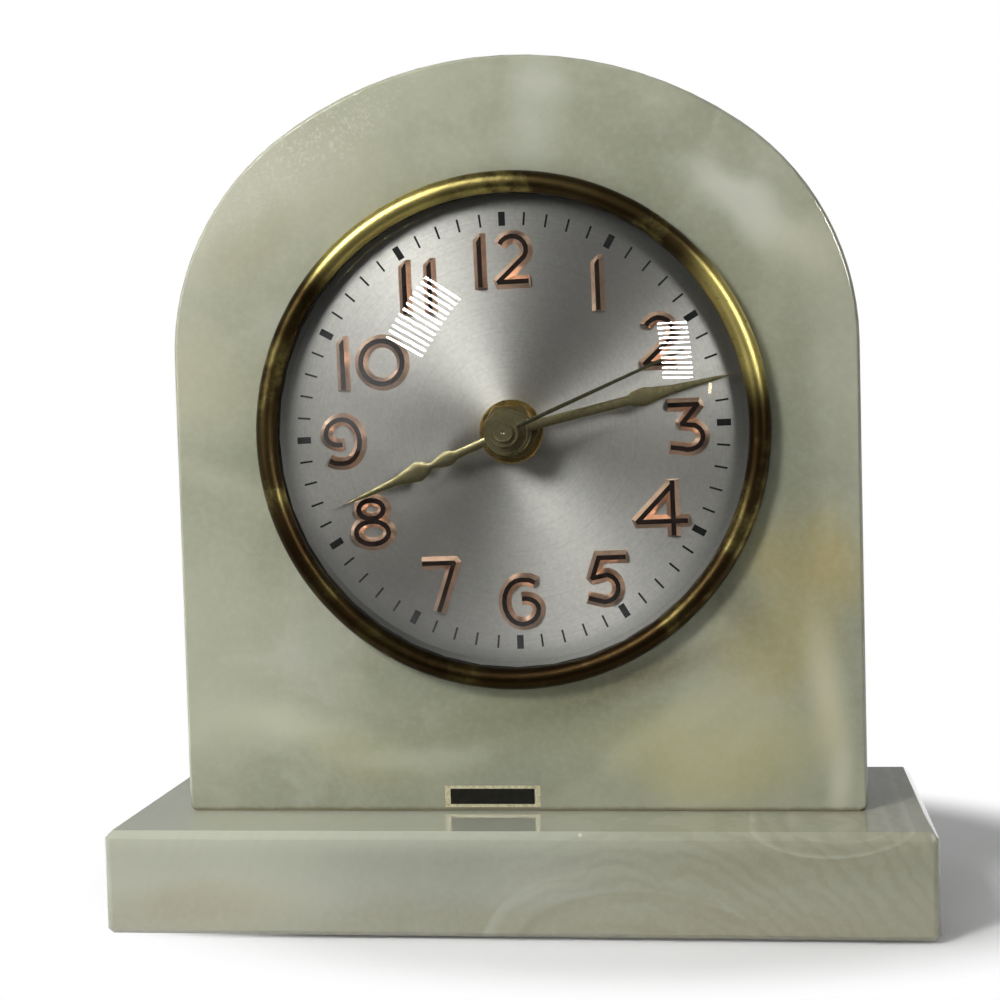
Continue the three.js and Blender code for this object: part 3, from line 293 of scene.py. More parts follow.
# Sizes in mm: fine crystals, smears of old polish, and the slow waves that hand polishing leaves
stoneLook = {
    "shader": {
        "IOR": 1.6,
        "Coat Weight": 0.5,
        "Coat Roughness": 0.02,
        "Coat IOR": 1.5,
        "Subsurface Weight": 0.22,
        "Subsurface Radius": (1.0, 0.95, 0.75),
        "Subsurface Scale": 0.004,
    },
    "fineSize": 1.6,
    "fineAmount": 0.1,
    "smearSize": 14,
    "swellSize": 9,
    "swellDepth": 0.05,
}
line = {"core": 0, "crisp": True}  # fades from its very middle, and the stone's flow doesn't bend it
arc = {"turn": 3, "crisp": True}  # curved line on the base's right
slabLook = {
    "bendSize": 42,
    "bend": 26,
    "cloudSize": 46,
    "veilSize": 24,
    "veilAmount": 0.45,
    "clouds": [(0.3, "#939681"), (0.45, "#A1A38E"), (0.58, "#B0B19D"), (0.72, "#BFC0AF")],
    "veil": "#C6C7B7",
    "fine": "#D2D3C2",
    "gloss": (0.05, 0.14),
    "foot": {"top": 23.9, "fade": 0.9, "wander": 0.8, "grain": 3, "amount": 0.7, "colour": "#6E6040"},
    "patches": [
        {"at": (-40, 158), "size": (30, 17), "turn": 40, "colour": "#C8C6AE", "amount": 0.5},
        {"at": (-42, 164), "size": (26, 8), "turn": 38, "colour": "#CDD0C0", "amount": 0.75, "grain": 0.8},
        {"at": (-54, 145), "size": (12, 8), "turn": 35, "colour": "#ADA990", "amount": 0.55},
        {"at": (-66, 118), "size": (12, 16), "colour": "#BFBBA1", "amount": 0.6},
        {"at": (-63, 92), "size": (13, 4.5), "turn": -18, "core": 0, "colour": "#C0BFAB", "amount": 0.5},
        {"at": (-54, 40), "size": (30, 8), "turn": -12, "core": 0, "colour": "#C9CBB0", "amount": 0.7},
        {"at": (-66, 60), "size": (14, 40), "colour": "#B4B59F", "amount": 0.5},
        {"at": (-34, 32), "size": (14, 9), "colour": "#A8A784", "amount": 0.55},
        {"at": (6, 172), "size": (7, 14), "colour": "#D0D2C4", "amount": 0.6},
        {"at": (20, 166), "size": (30, 5), "turn": -24, "core": 0, "colour": "#9C9E88", "amount": 0.4},
        {"at": (-20, 34), "size": (26, 4), "turn": 10, "core": 0, "colour": "#C6C7B2", "amount": 0.5},
        {"at": (34, 42), "size": (24, 3.5), "turn": 32, "core": 0, "colour": "#D0CFB4", "amount": 0.5},
        {"at": (50, 148), "size": (22, 6), "turn": -36, "colour": "#D6D7C8", "amount": 0.85},
        {"at": (63, 138), "size": (12, 9), "colour": "#C4C3A8", "amount": 0.45},
        {"at": (61, 74), "size": (17, 16), "turn": 20, "colour": "#B5A56C", "amount": 0.75},
        {"at": (52, 56), "size": (15, 11), "colour": "#AFA36F", "amount": 0.65},
        {"at": (66, 45), "size": (5, 22), "turn": 8, **line, "colour": "#D2CFB0", "amount": 0.75},
        {"at": (68, 28), "size": (3, 10), "turn": -6, **line, "colour": "#D4D4C0", "amount": 0.7},
        {"at": (42, 36), "size": (26, 14), "colour": "#BDB888", "amount": 0.6},
        {"at": (4, 42), "size": (34, 10), "colour": "#A3A37C", "amount": 0.5},
        # painted shade round the bezel: a broad darkening of the stone about it, and darker lines along its
        # lower side and right, where its shadow falls
        {"at": (0, 104), "size": (66, 66), "core": 0.75, "colour": "#7F826C", "amount": 0.4},
        {"at": (24, 50.5), "size": (24, 4.5), "turn": 20, **line, "colour": "#6B6244", "amount": 0.7},
        {"at": (6, 44), "size": (34, 9), "turn": 8, **line, "colour": "#7F8068", "amount": 0.6},
        {"at": (46, 68), "size": (6, 16), "turn": 40, **line, "colour": "#77735A", "amount": 0.5},
        {"at": (60, 102), "size": (6, 34), "colour": "#7C7F69", "amount": 0.45, "crisp": True},
    ],
}
baseLook = {
    "bendSize": 60,
    "bend": 16,
    "cloudSize": 60,
    "veilSize": 40,
    "veilAmount": 0.3,
    "clouds": [(0.3, "#97988A"), (0.5, "#A1A394"), (0.7, "#ABADA0")],
    "veil": "#AFB1A3",
    "fine": "#C2C3B4",
    "gloss": (0.03, 0.07),
    "bands": {
        "centre": (24, 0, -30),
        "pitch": 3.6,
        "wobble": 9.0,
        "from": -20,
        "to": 40,
        "faint": 0.02,
        "amount": 0.14,
        "colour": "#7E7B60",
    },
    "patches": [
        # painted light: the base's left end lighter, on the side the light comes from
        {"at": (-72, 12), "size": (46, 40), "colour": "#C6C7B5", "amount": 0.6},
        {"at": (-66, 7), "size": (24, 5), "turn": 4, "colour": "#A9A288", "amount": 0.5},
        # painted light on the base's top face and upper edge, and painted shade along its bottom
        {"at": (0, 24), "size": (200, 6), "colour": "#C6C9B6", "amount": 0.6, "crisp": True},
        {"at": (0, 0), "size": (200, 9), "colour": "#8B866A", "amount": 0.5},
        {"at": (66, 27), "size": (18.5, 9.5), **arc, "colour": "#D6D8CC", "amount": 0.65, "rim": 0.1},
        {"at": (68, 27), "size": (14, 6.5), **arc, "colour": "#CDCFC2", "amount": 0.5, "rim": 0.12},
        {"at": (26, -14), "size": (34, 28), "turn": -24, "colour": "#B9BBAB", "amount": 0.35, "rim": 0.1},
        {"at": (34, -18), "size": (36, 26), "turn": -24, "colour": "#7F7C64", "amount": 0.35, "rim": 0.1},
        {"at": (85.2, 21.6), "size": (0.5, 0.8), "colour": "#F0F0E6", "amount": 0.9, "crisp": True},
        {"at": (14.5, 21.8), "size": (0.45, 0.4), "colour": "#F0F0E6", "amount": 0.8, "crisp": True},
        # painted shade: the base's right part darker, away from the light
        {"at": (66, 8), "size": (70, 30), "turn": 4, "colour": "#9C987A", "amount": 0.5},
    ],
}
slabOnyx = makeOnyx("polished onyx, clouded", slabLook)  # pale green-grey clouds with tan stains, and painted shade round the bezel
baseOnyx = makeOnyx("polished onyx, banded", baseLook)  # greyer, with faint curved growth lines; painted light at the top and left end, painted shade along the bottom and right
print("onyx made")


# Metals: a clean colour under a film of tarnish, with specks and fine pits; on the bezel, painted highlight
# and painted shade in given places
def makeMetal(name, look):
    material, tree, shader, place = newMaterial(name, {"Metallic": look.get("metallic", 1.0)})
    scale = 1 / (look["filmSize"] * mm)
    film = add(tree, "TexNoise", {"Vector": place, "Scale": scale, "Detail": 5, "Roughness": 0.65})
    start, full = look.get("filmEnds", (0.35, 0.7))
    ends = {"From Min": start, "From Max": full, "To Max": look["film"]}
    amount = add(tree, "MapRange", {"Value": film, **ends}, **eased)
    for x, z, reach in look.get("wearAndPaintedLight", []):  # spots rubbed bright, placed where the highlights fall: wear and painted highlight, with their reach in mm
        ends = {"From Min": 0.4 * reach * mm, "From Max": reach * mm}
        keep = add(tree, "MapRange", {"Value": distanceFrom(tree, place, x, z), **ends}, **eased)
        amount = add(tree, "Math", {0: amount, 1: keep}, operation="MULTIPLY")
    colour = add(tree, "Mix", {0: amount, 6: look["clean"], 7: look["dull"]}, data_type="RGBA")
    scale = 1 / (look["grainSize"] * mm)
    grain = add(tree, "TexNoise", {"Vector": place, "Scale": scale, "Detail": 4, "Roughness": 0.7})
    ends = {"From Min": 0.55, "From Max": 0.75, "To Max": look["grain"]}
    specks = add(tree, "MapRange", {"Value": grain, **ends}, **eased)
    colour = add(tree, "Mix", {0: specks, 6: colour, 7: look["speckAndShade"]}, data_type="RGBA")
    for x, z, reach, most in look.get("paintedShadeSpots", []):  # spots darkened nearly black: painted shade where the ring mirrors the dark room
        ends = {"From Min": reach * mm, "From Max": 0.3 * reach * mm, "To Max": most}
        near = add(tree, "MapRange", {"Value": distanceFrom(tree, place, x, z), **ends}, **eased)
        colour = add(tree, "Mix", {0: near, 6: colour, 7: look["speckAndShade"]}, data_type="RGBA")
    if "paintedShadeBelow" in look:  # painted shade: darker towards the bottom of the ring, where it mirrors the dark room, between two heights in mm
        paintedShadeBelow, high, most = look["paintedShadeBelow"]
        height = add(tree, "SeparateXYZ", {0: place}).outputs[2]
        ends = {"From Min": high * mm, "From Max": paintedShadeBelow * mm, "To Max": most}
        lower = add(tree, "MapRange", {"Value": height, **ends}, **eased)
        colour = add(tree, "Mix", {0: lower, 6: colour, 7: look["speckAndShade"]}, data_type="RGBA")
    tree.links.new(colour.outputs[2], shader.inputs["Base Color"])
    ends = {"From Min": 0.3, "From Max": 0.75, "To Min": look["rough"][0], "To Max": look["rough"][1]}
    rough = add(tree, "MapRange", {"Value": film, **ends})
    tree.links.new(rough.outputs[0], shader.inputs["Roughness"])
    depth = look.get("depth", 0.03) * mm
    pits = add(tree, "Bump", {"Height": grain, "Strength": look["bump"], "Distance": depth})
    tree.links.new(pits.outputs[0], shader.inputs["Normal"])
    return material


# Parallel ridges, for stacked sheets and wound wire: pitch and depth in mm
def addRidges(material, ridges):
    tree = material.node_tree
    place = add(tree, "TexCoord").outputs["Object"]
    wave = {"Vector": place, "Scale": waveScale / (ridges["pitch"] * mm), **ridges.get("wave", {})}
    wave = add(tree, "TexWave", wave, wave_type="BANDS", bands_direction=ridges["across"])
    bump = {"Strength": ridges["strength"], "Distance": ridges["depth"] * mm}
    bump = add(tree, "Bump", {"Height": wave.outputs[1], **bump})
    shader = next(n for n in tree.nodes if n.type == "BSDF_PRINCIPLED")
    tree.links.new(bump.outputs[0], shader.inputs["Normal"])


agedBrass = makeMetal(  # yellow above in spots of painted highlight on rubbed brass, brown to black between, partly tarnish and partly painted shade, under a broad soft highlight
    "aged brass, drawn and lacquered, worn through",
    {
        "clean": "#C9BA70",
        "dull": "#3A2B1B",
        "film": 0.95,
        "filmSize": 13,
        "filmEnds": (0.22, 0.5),
        # spots of painted highlight on rubbed brass, where the highlights fall
        "wearAndPaintedLight": [(-28, 150, 24), (49, 126, 20)],
        # spots of painted shade, where the ring mirrors the dark room
        "paintedShadeSpots": [
            (-45, 131, 15, 0.9),
            (-46, 76, 15, 0.8),
            (53, 102, 16, 0.8),
            (-24, 57, 16, 0.7),
            (28, 150, 14, 0.5),
        ],
        "grainSize": 1.1,
        "grain": 0.7,
        "speckAndShade": "#2A1D0E",
        "rough": (0.36, 0.46),
        "bump": 0.2,
        # painted shade towards the bottom of the ring
        "paintedShadeBelow": (48, 112, 0.85),
    },
)
brightBrass = makeMetal(  # clean warm yellow, hardly clouded
    "bright brass, turned",
    {
        "clean": "#D6B86A",
        "dull": "#96783F",
        "film": 0.5,
        "filmSize": 5,
        "grainSize": 0.4,
        "grain": 0.35,
        "speckAndShade": "#6B532B",
        "rough": (0.2, 0.36),
        "bump": 0.15,
    },
)
darkBrass = makeMetal(  # brown film that dulls the hexagon's flats
    "brass, turned and tarnished brown",
    {
        "clean": "#BCA672",
        "dull": "#75613F",
        "film": 0.85,
        "filmSize": 4,
        "grainSize": 0.4,
        "grain": 0.5,
        "speckAndShade": "#33240F",
        "rough": (0.24, 0.4),
        "bump": 0.2,
    },
)
gilt = makeMetal(  # matt olive gold with dark pits
    "gilt brass, stamped, dulled and pitted",
    {
        "clean": "#A9A07A",
        "dull": "#746D4B",
        "film": 0.75,
        "filmSize": 3,
        "grainSize": 0.35,
        "grain": 0.7,
        "speckAndShade": "#37331F",
        "rough": (0.28, 0.46),
        "bump": 0.4,
    },
)
darkGilt = makeMetal(  # a dark line against the bright dial
    "gilt brass, drawn thin and gone dark",
    {
        "clean": "#6E6A52",
        "dull": "#45412F",
        "film": 0.75,
        "filmSize": 3,
        "grainSize": 0.35,
        "grain": 0.6,
        "speckAndShade": "#2A2718",
        "rough": (0.28, 0.46),
        "bump": 0.3,
    },
)
zincSteel = makeMetal(  # pale blue-grey, slightly cloudy
    "steel, zinc plated",
    {
        "clean": "#B9BCBE",
        "dull": "#8E9193",
        "film": 0.6,
        "filmSize": 4,
        "grainSize": 0.5,
        "grain": 0.3,
        "speckAndShade": "#77797A",
        "rough": (0.28, 0.45),
        "bump": 0.1,
    },
)
laminatedSteel = makeMetal(  # dark grey with rusty specks, its edge lined by the sheets
    "silicon steel, stacked laminations, blued edges",
    {
        "clean": "#6E7276",
        "dull": "#3F4347",
        "film": 0.7,
        "filmSize": 6,
        "grainSize": 0.6,
        "grain": 0.4,
        "speckAndShade": "#5A3D2A",
        "rough": (0.35, 0.5),
        "bump": 0.1,
    },
)
addRidges(laminatedSteel, {"across": "Y", "pitch": 1.2, "strength": 0.6, "depth": 0.08})  # coarse, to show
copper = makeMetal(  # pinkish flanks that catch the light
    "copper plate on raised numerals",
    {
        "clean": "#EFCDB5",
        "dull": "#A88672",
        "film": 0.5,
        "filmSize": 4,
        "grainSize": 0.5,
        "grain": 0.3,
        "speckAndShade": "#5E463A",
        "rough": (0.3, 0.44),
        "bump": 0.1,
    },
)
goldFoil = makeMetal(  # pale gold that glints unevenly
    "label foil, gold, crinkled",
    {
        "metallic": 0.5,
        "clean": "#F0E8C6",
        "dull": "#B9AE84",
        "film": 0.7,
        "filmSize": 0.8,
        "grainSize": 0.5,
        "grain": 0.4,
        "speckAndShade": "#7A7150",
        "rough": (0.3, 0.5),
        "bump": 0.8,
        "depth": 0.1,
    },
)

# Spun dial: fine circular turning marks on silvered sheet, which fan the light out from the centre
dialLook = {
    "shader": {"Metallic": 1.0, "Anisotropic": 0.78, "Anisotropic Rotation": 0.017},
    "turning": 0.5,  # marks drawn 0.5 mm apart so that they show
    "mottle": 0.7,
    "haze": 16,
    "clean": "#D3D2CD",
    "spot": "#B3B2AE",
    "hazy": "#A7A7A3",
    "ring": "#979692",
    # painted shade of the bezel on the dial's rim: the colour it takes there, and the radii between which
    # it darkens
    "wearAndPaintedLight": "#8F908C",
    "paintedShadeFrom": 45,
    "paintedShadeTo": 49,
    "rough": (0.47, 0.55),
    "doming": -0.73,  # times the square of the distance in metres: 1.7 mm over the dial's radius
}
look = dialLook
silver, tree, shader, place = newMaterial("silvered sheet, spun finish", look["shader"])
centred = add(tree, "VectorMath", {0: place, 1: faceCentre}, operation="SUBTRACT")
outward = add(tree, "VectorMath", {0: centred, 1: faceOnly}, operation="MULTIPLY")
spokes = add(tree, "VectorMath", {0: outward}, operation="NORMALIZE")
tree.links.new(spokes.outputs[0], shader.inputs["Tangent"])
distance = add(tree, "VectorMath", {0: outward}, operation="LENGTH")
scale = 1 / (look["turning"] * mm)
turning = add(tree, "TexNoise", {"W": distance, "Scale": scale, "Detail": 3}, noise_dimensions="1D")
scale = 1 / (look["mottle"] * mm)
mottle = add(tree, "TexNoise", {"Vector": place, "Scale": scale, "Detail": 3, "Roughness": 0.6})
scale = 1 / (look["haze"] * mm)
haze = add(tree, "TexNoise", {"Vector": place, "Scale": scale, "Detail": 4, "Roughness": 0.6})
spots = add(tree, "MapRange", {"Value": mottle, "From Min": 0.3, "From Max": 0.7, "To Max": 0.4})
colour = add(tree, "Mix", {0: spots, 6: look["clean"], 7: look["spot"]}, data_type="RGBA")
hazy = add(tree, "MapRange", {"Value": haze, "From Min": 0.45, "From Max": 0.75, "To Max": 0.25}, **eased)
colour = add(tree, "Mix", {0: hazy, 6: colour, 7: look["hazy"]}, data_type="RGBA")
rings = add(tree, "MapRange", {"Value": turning, "From Min": 0.4, "From Max": 0.7, "To Max": 0.12}, **eased)
colour = add(tree, "Mix", {0: rings, 6: colour, 7: look["ring"]}, data_type="RGBA")
# painted shade: the rim of the dial darkened where the bezel shades it
ends = {"From Min": look["paintedShadeFrom"] * mm, "From Max": look["paintedShadeTo"] * mm, "To Max": 0.55}
wearAndPaintedLight = add(tree, "MapRange", {"Value": distance, **ends}, **eased)
colour = add(tree, "Mix", {0: wearAndPaintedLight, 6: colour, 7: look["wearAndPaintedLight"]}, data_type="RGBA")
tree.links.new(colour.outputs[2], shader.inputs["Base Color"])
ends = {"From Min": 0.3, "From Max": 0.7, "To Min": look["rough"][0], "To Max": look["rough"][1]}
sheen = add(tree, "MapRange", {"Value": mottle, **ends})
tree.links.new(sheen.outputs[0], shader.inputs["Roughness"])
square = add(tree, "Math", {0: distance, 1: 2.0}, operation="POWER")
dish = add(tree, "Math", {0: square, 1: look["doming"]}, operation="MULTIPLY")
dish = add(tree, "Bump", {"Height": dish, "Strength": 1.0, "Distance": 1.0})
tree.links.new(dish.outputs[0], shader.inputs["Normal"])


# Paints, prints and dull solids: two close colours in faint blotches, some with a grain
def makeDull(name, look):
    material, tree, shader, place = newMaterial(name, look.get("shader", {}))
    scale = 1 / (look["size"] * mm)
    blotch = add(tree, "TexNoise", {"Vector": place, "Scale": scale, "Detail": 4, "Roughness": 0.6})
    amount = add(tree, "MapRange", {"Value": blotch, "From Min": 0.35, "From Max": 0.7}, **eased)
    dark, light = look["colours"]
    colour = add(tree, "Mix", {0: amount, 6: dark, 7: light}, data_type="RGBA")
    tree.links.new(colour.outputs[2], shader.inputs["Base Color"])
    ends = {"From Min": 0.3, "From Max": 0.7, "To Min": look["rough"][0], "To Max": look["rough"][1]}
    rough = add(tree, "MapRange", {"Value": blotch, **ends})
    tree.links.new(rough.outputs[0], shader.inputs["Roughness"])
    if "grain" in look:
        size, strength, depth = look["grain"]
        scale = 1 / (size * mm)
        grain = add(tree, "TexNoise", {"Vector": place, "Scale": scale, "Detail": 4, "Roughness": 0.7})
        grain = add(tree, "Bump", {"Height": grain, "Strength": strength, "Distance": depth * mm})
        tree.links.new(grain.outputs[0], shader.inputs["Normal"])
    return material


paintedTopReflection = makeDull(  # brown-black with a faint gloss: painted reflection of the dark room in the numerals' polished tops
    "dark paintedReflection on the numerals' tops",
    {
        "shader": {"Specular IOR Level": 0.25},
        "colours": ("#1E1512", "#2A1F1A"),
        "size": 2,
        "rough": (0.25, 0.4),
    },
)
ink = makeDull(  # flat black
    "printing ink, black",
    {
        "shader": {"Specular IOR Level": 0.2},
        "colours": ("#101312", "#1B1F1E"),
        "size": 1.5,
        "rough": (0.4, 0.6),
    },
)
blackFoil = makeDull(  # black with a warm cast
    "label foil, black print",
    {
        "shader": {"Specular IOR Level": 0.3},
        "colours": ("#14130F", "#201E17"),
        "size": 1.2,
        "rough": (0.3, 0.5),
    },
)
blackEnamel = makeDull(  # soft black gloss, slightly rippled
    "stoving enamel on pressed steel, black",
    {"colours": ("#161616", "#242322"), "size": 18, "rough": (0.3, 0.48), "grain": (0.9, 0.3, 0.03)},
)
rubber = makeDull(  # matt blue-black
    "rubber, moulded, black",
    {"colours": ("#17171A", "#262628"), "size": 5, "rough": (0.6, 0.8), "grain": (0.5, 0.3, 0.03)},
)
phenolic = makeDull(  # deep brown-black gloss
    "phenolic moulding, black-brown",
    {"colours": ("#1B1512", "#2A211B"), "size": 9, "rough": (0.22, 0.4), "grain": (1.2, 0.15, 0.02)},
)
card = makeDull(  # dead matt, faintly fibrous
    "pressed card, black",
    {"colours": ("#1D1C1A", "#2C2A27"), "size": 2, "rough": (0.75, 0.95), "grain": (0.25, 0.4, 0.03)},
)
felt = makeDull(  # green nap with a soft rim of light
    "wool felt, green",
    {
        "shader": {"Sheen Weight": 0.4, "Sheen Roughness": 0.5},
        "colours": ("#24402F", "#38573F"),
        "size": 3,
        "rough": (0.9, 1.0),
        "grain": (0.35, 0.7, 0.12),
    },
)
wire = makeDull(  # red-brown gloss in fine parallel turns
    "enamelled copper wire, wound",
    {"colours": ("#6A2E18", "#8C4422"), "size": 6, "rough": (0.25, 0.4)},
)
turns = {"across": "X", "pitch": 0.5, "strength": 0.7, "depth": 0.12}  # coarse, to show
addRidges(wire, {**turns, "wave": {"Distortion": 0.4, "Detail": 1}})

# Clear glass: its front face mirrors and bends, its back face only bends, so that a window shows once
glassLook = {"ior": 1.5, "colour": "#FAFAF9", "straight": "#F8F8F7"}


# Lamp light, and mirror rays from the dial, go straight through.
# A refracted ray counts as glossy too, so it is taken off.
def passLight(tree, surface):
    ray = add(tree, "LightPath").outputs
    glossy, bent = ray["Is Glossy Ray"], ray["Is Transmission Ray"]
    mirror = add(tree, "Math", {0: glossy, 1: bent}, operation="SUBTRACT")
    shadow, diffuse = ray["Is Shadow Ray"], ray["Is Diffuse Ray"]
    straight = add(tree, "Math", {0: shadow, 1: diffuse}, operation="MAXIMUM")
    straight = add(tree, "Math", {0: straight, 1: mirror}, operation="MAXIMUM")
    through = add(tree, "BsdfTransparent", {"Color": glassLook["straight"]})
    setSurface(tree, add(tree, "MixShader", {0: straight, 1: surface, 2: through}))


clear = {"IOR": glassLook["ior"], "Roughness": 0.0}
mirroring = {**clear, "Transmission Weight": 1.0, "Base Color": glassLook["colour"]}
glass, tree, shader, place = newMaterial("clear glass, slumped", mirroring)
passLight(tree, shader)
glassBack, tree, shader, place = newMaterial("clear glass, inner face", clear)
passLight(tree, add(tree, "BsdfRefraction", {**clear, "Color": glassLook["colour"]}))
print("materials made")

# Stone, with its sharp edges eased: the slab's in front and behind, the base's round its upper part
slabEdge = {"rounding": 0.18, "front": -13, "back": 15.5}
baseEdge = {"rounding": 0.25, "above": 12}


def frontOrBack(e):
    depths = [v.co.y / mm for v in e.verts]
    return min(depths) < slabEdge["front"] or max(depths) > slabEdge["back"]


def upper(e):
    return max(v.co.z / mm for v in e.verts) > baseEdge["above"]


slab = roundEdges(copyOf("onyx_body"), slabEdge["rounding"], least=30, keep=frontOrBack)
finishPiece(slab, "onyx_slab", "case", [slabOnyx], ["onyx_body"])
base = roundEdges(copyOf("onyx_base"), baseEdge["rounding"], least=30, segments=3, keep=upper)
finishPiece(base, "onyx_plinth", "case", [baseOnyx], ["onyx_base"])

# Foil label: gold all round, black in the middle, which is a little narrower still
labelSize = {"border": 0.95, "side": 0.945}
label = copyOf("foil_label")
front = [f for f in label.faces if facesFront(f)]
bmesh.ops.inset_region(label, faces=front, thickness=labelSize["border"] * mm, depth=0)
corners = [v for f in front for v in f.verts]
centre = sum((v.co for v in corners), Vector()) / len(corners)
narrower = (labelSize["side"], 1, 1)
bmesh.ops.scale(label, verts=list(set(corners)), vec=narrower, space=Matrix.Translation(-centre))
for f in front:
    f.material_index = 1
finishPiece(label, "label_plate", "case", [goldFoil, blackFoil], ["foil_label"])

# Bezel: half round with a lip over the glass, a skirt through the bore and a crimp behind the pan
bezelSize = {
    "outer": 55.2,
    "inner": 50.5,
    "underside": 2.25,
    "pocket": 52.0,
    "skirt": 52.9,
    "crimp": 50.8,
    "crimpFront": -3.09,
    "crimpBack": -3.89,
    "steps": 180,
    "crownStep": 10,  # degrees
}
size = bezelSize
middle, half = (size["outer"] + size["inner"]) / 2, (size["outer"] - size["inner"]) / 2
angles = [radians(a) for a in range(0, 181, size["crownStep"])]
crown = [(middle + half * cos(a), size["underside"] + half * sin(a)) for a in angles]
profile = [
    (size["outer"], 0),
    *crown,
    (size["pocket"], size["underside"]),
    (size["pocket"], size["crimpFront"]),
    (size["crimp"], size["crimpFront"]),
    (size["crimp"], size["crimpBack"]),
    (size["skirt"], size["crimpBack"]),
    (size["skirt"], 0),
]
finishPiece(lathe(profile, size["steps"]), "bezel_ring", "case", [agedBrass], ["bezel"])

# Glass: one shallow dome of even thickness
glassSize = {
    "rim": 51.6,
    "radius": 103.37,
    "centre": -88.1,
    "thick": 1.7,
    "rings": 24,
    "steps": 128,
    "backFace": 0.3,  # least share of a normal that points back on the inner face
}
size = glassSize
reaches = [i / size["rings"] * size["rim"] for i in range(size["rings"] + 1)]
outer = [(r, size["centre"] + (size["radius"] ** 2 - r * r) ** 0.5) for r in reaches]
radius = size["radius"] - size["thick"]
inner = [(r, size["centre"] + (radius**2 - r * r) ** 0.5) for r in reversed(reaches)]
dome = lathe(outer + inner, size["steps"], closed=False)
for f in dome.faces:
    if f.normal.y > size["backFace"]:
        f.material_index = 1
finishPiece(dome, "domed_glass", "case", [glass, glassBack], ["dial_glass"])
print("case made")

# Dial: silvered sheet with copper numerals, dark on top with painted reflection: how far out each begins,
# in mm
dialSize = {"front": -1.19, "flanks": 0.05, "tops": 0.8}
dial = copyOf("dial")
for f in dial.faces:
    out = (slabFront * mm - f.calc_center_median().y) / mm - dialSize["front"]
    if facesFront(f) and out > dialSize["tops"]:
        f.material_index = 2
    elif out > dialSize["flanks"]:
        f.material_index = 1
finishPiece(dial, "dial_sheet", "case", [silver, copper, paintedTopReflection], ["dial"], sharp=40)

# Minute track, printed on the dial: widths and lengths of its marks in mm
track = {
    "count": 60,
    "radius": 45.04,
    "minute": (0.43, 2.75),
    "hour": (1.42, 2.95),
    "turn": -1,  # degrees by which the dial is turned in its bezel
    "film": 0.03,
}
marks = bmesh.new()
for i in range(track["count"]):
    wide, tall = track["hour"] if i % 5 == 0 else track["minute"]
    cube = bmesh.ops.create_cube(marks, size=1)["verts"]
    bmesh.ops.scale(marks, verts=cube, vec=(wide * mm, track["film"] * mm, tall * mm))
    bmesh.ops.translate(marks, verts=cube, vec=(0, 0, track["radius"] * mm))
    turn = Matrix.Rotation(radians(i * 360 / track["count"] + track["turn"]), 3, "Y")
    bmesh.ops.rotate(marks, verts=cube, cent=(0, 0, 0), matrix=turn)
    bmesh.ops.translate(marks, verts=cube, vec=onFace(0, 0, dialSize["front"] + track["film"] / 2))
finishPiece(marks, "minute_track", "case", [ink])

# Washer and nut in the middle of the dial
washerSize = {"bore": 3.6, "rim": 6.8, "thick": 0.6, "edge": 0.15}
size = washerSize
back, face = dialSize["front"], dialSize["front"] + size["thick"]
profile = [
    (size["bore"], back),
    (size["rim"], back),
    (size["rim"], face - size["edge"]),
    (size["rim"] - size["edge"], face),
    (size["bore"], face),
]
washer = lathe(profile, meshRules["smallRound"])
finishPiece(washer, "flange_washer", "case", [brightBrass], ["dial_washer"])
nutEdge = 0.25
nut = roundEdges(copyOf("dial_nut"), nutEdge, least=40)
finishPiece(nut, "hex_nut", "case", [darkBrass], ["dial_nut"])

# Hands: stamped leaves on turned bosses
bladeRules = {
    "curve": 0.55,  # how far the outline between two stations is from straight, up to a full S
    "edge": 0.09,  # rounding in mm
    "across": 4,  # faces over the blade's width
    "slack": 1e-6,  # mm by which a point may miss its station
}


# Stations are (radius, half width there as a share of the width); the leaf slopes down to its tip
def makeBlade(stations, width, reach, root, tip, clockwise, thick=0.4, crown=0.12, steps=90):
    bm = bmesh.new()
    grid = bmesh.ops.create_grid(bm, x_segments=steps, y_segments=bladeRules["across"], size=0.5)["verts"]
    places = [r for r, share in stations[:-1]] + [reach]
    shares = [share for r, share in stations]
    curve = bladeRules["curve"]
    for v in grid:
        r = places[0] + (v.co.x + 0.5) * (reach - places[0])
        i = max(k for k in range(len(places) - 1) if places[k] <= r + bladeRules["slack"])
        t = (r - places[i]) / (places[i + 1] - places[i])
        t = t * t * (3 - 2 * t) * curve + t * (1 - curve)
        halfWidth = width * (shares[i] + (shares[i + 1] - shares[i]) * t)
        side = v.co.y * 2
        v.co = (r * mm, side * halfWidth * mm, (crown * (1 - side * side) - crown) * mm)
    bmesh.ops.solidify(bm, geom=bm.faces[:], thickness=-thick * mm)
    bmesh.ops.recalc_face_normals(bm, faces=bm.faces)
    roundEdges(bm, bladeRules["edge"], least=50)
    slope = (root - tip) / reach
    bmesh.ops.translate(bm, verts=bm.verts, vec=(0, 0, thick / 2 * mm))
    for v in bm.verts:
        v.co.z += (root - slope * v.co.x / mm) * mm
    turn = Matrix.Rotation(radians(90 - clockwise), 3, "Z")
    bmesh.ops.rotate(bm, verts=bm.verts, cent=(0, 0, 0), matrix=turn)
    upright = Matrix.Rotation(radians(90), 3, "X")
    bmesh.ops.rotate(bm, verts=bm.verts, cent=(0, 0, 0), matrix=upright)
    bmesh.ops.translate(bm, verts=bm.verts, vec=faceCentre)
    return bm


def makeBoss(bore, rim, back, front, edge=0.15):
    profile = [
        (bore, back),
        (rim - edge, back),
        (rim, back + edge),
        (rim, front - edge),
        (rim - edge, front),
        (bore, front),
    ]
    return lathe(profile, meshRules["smallRound"])


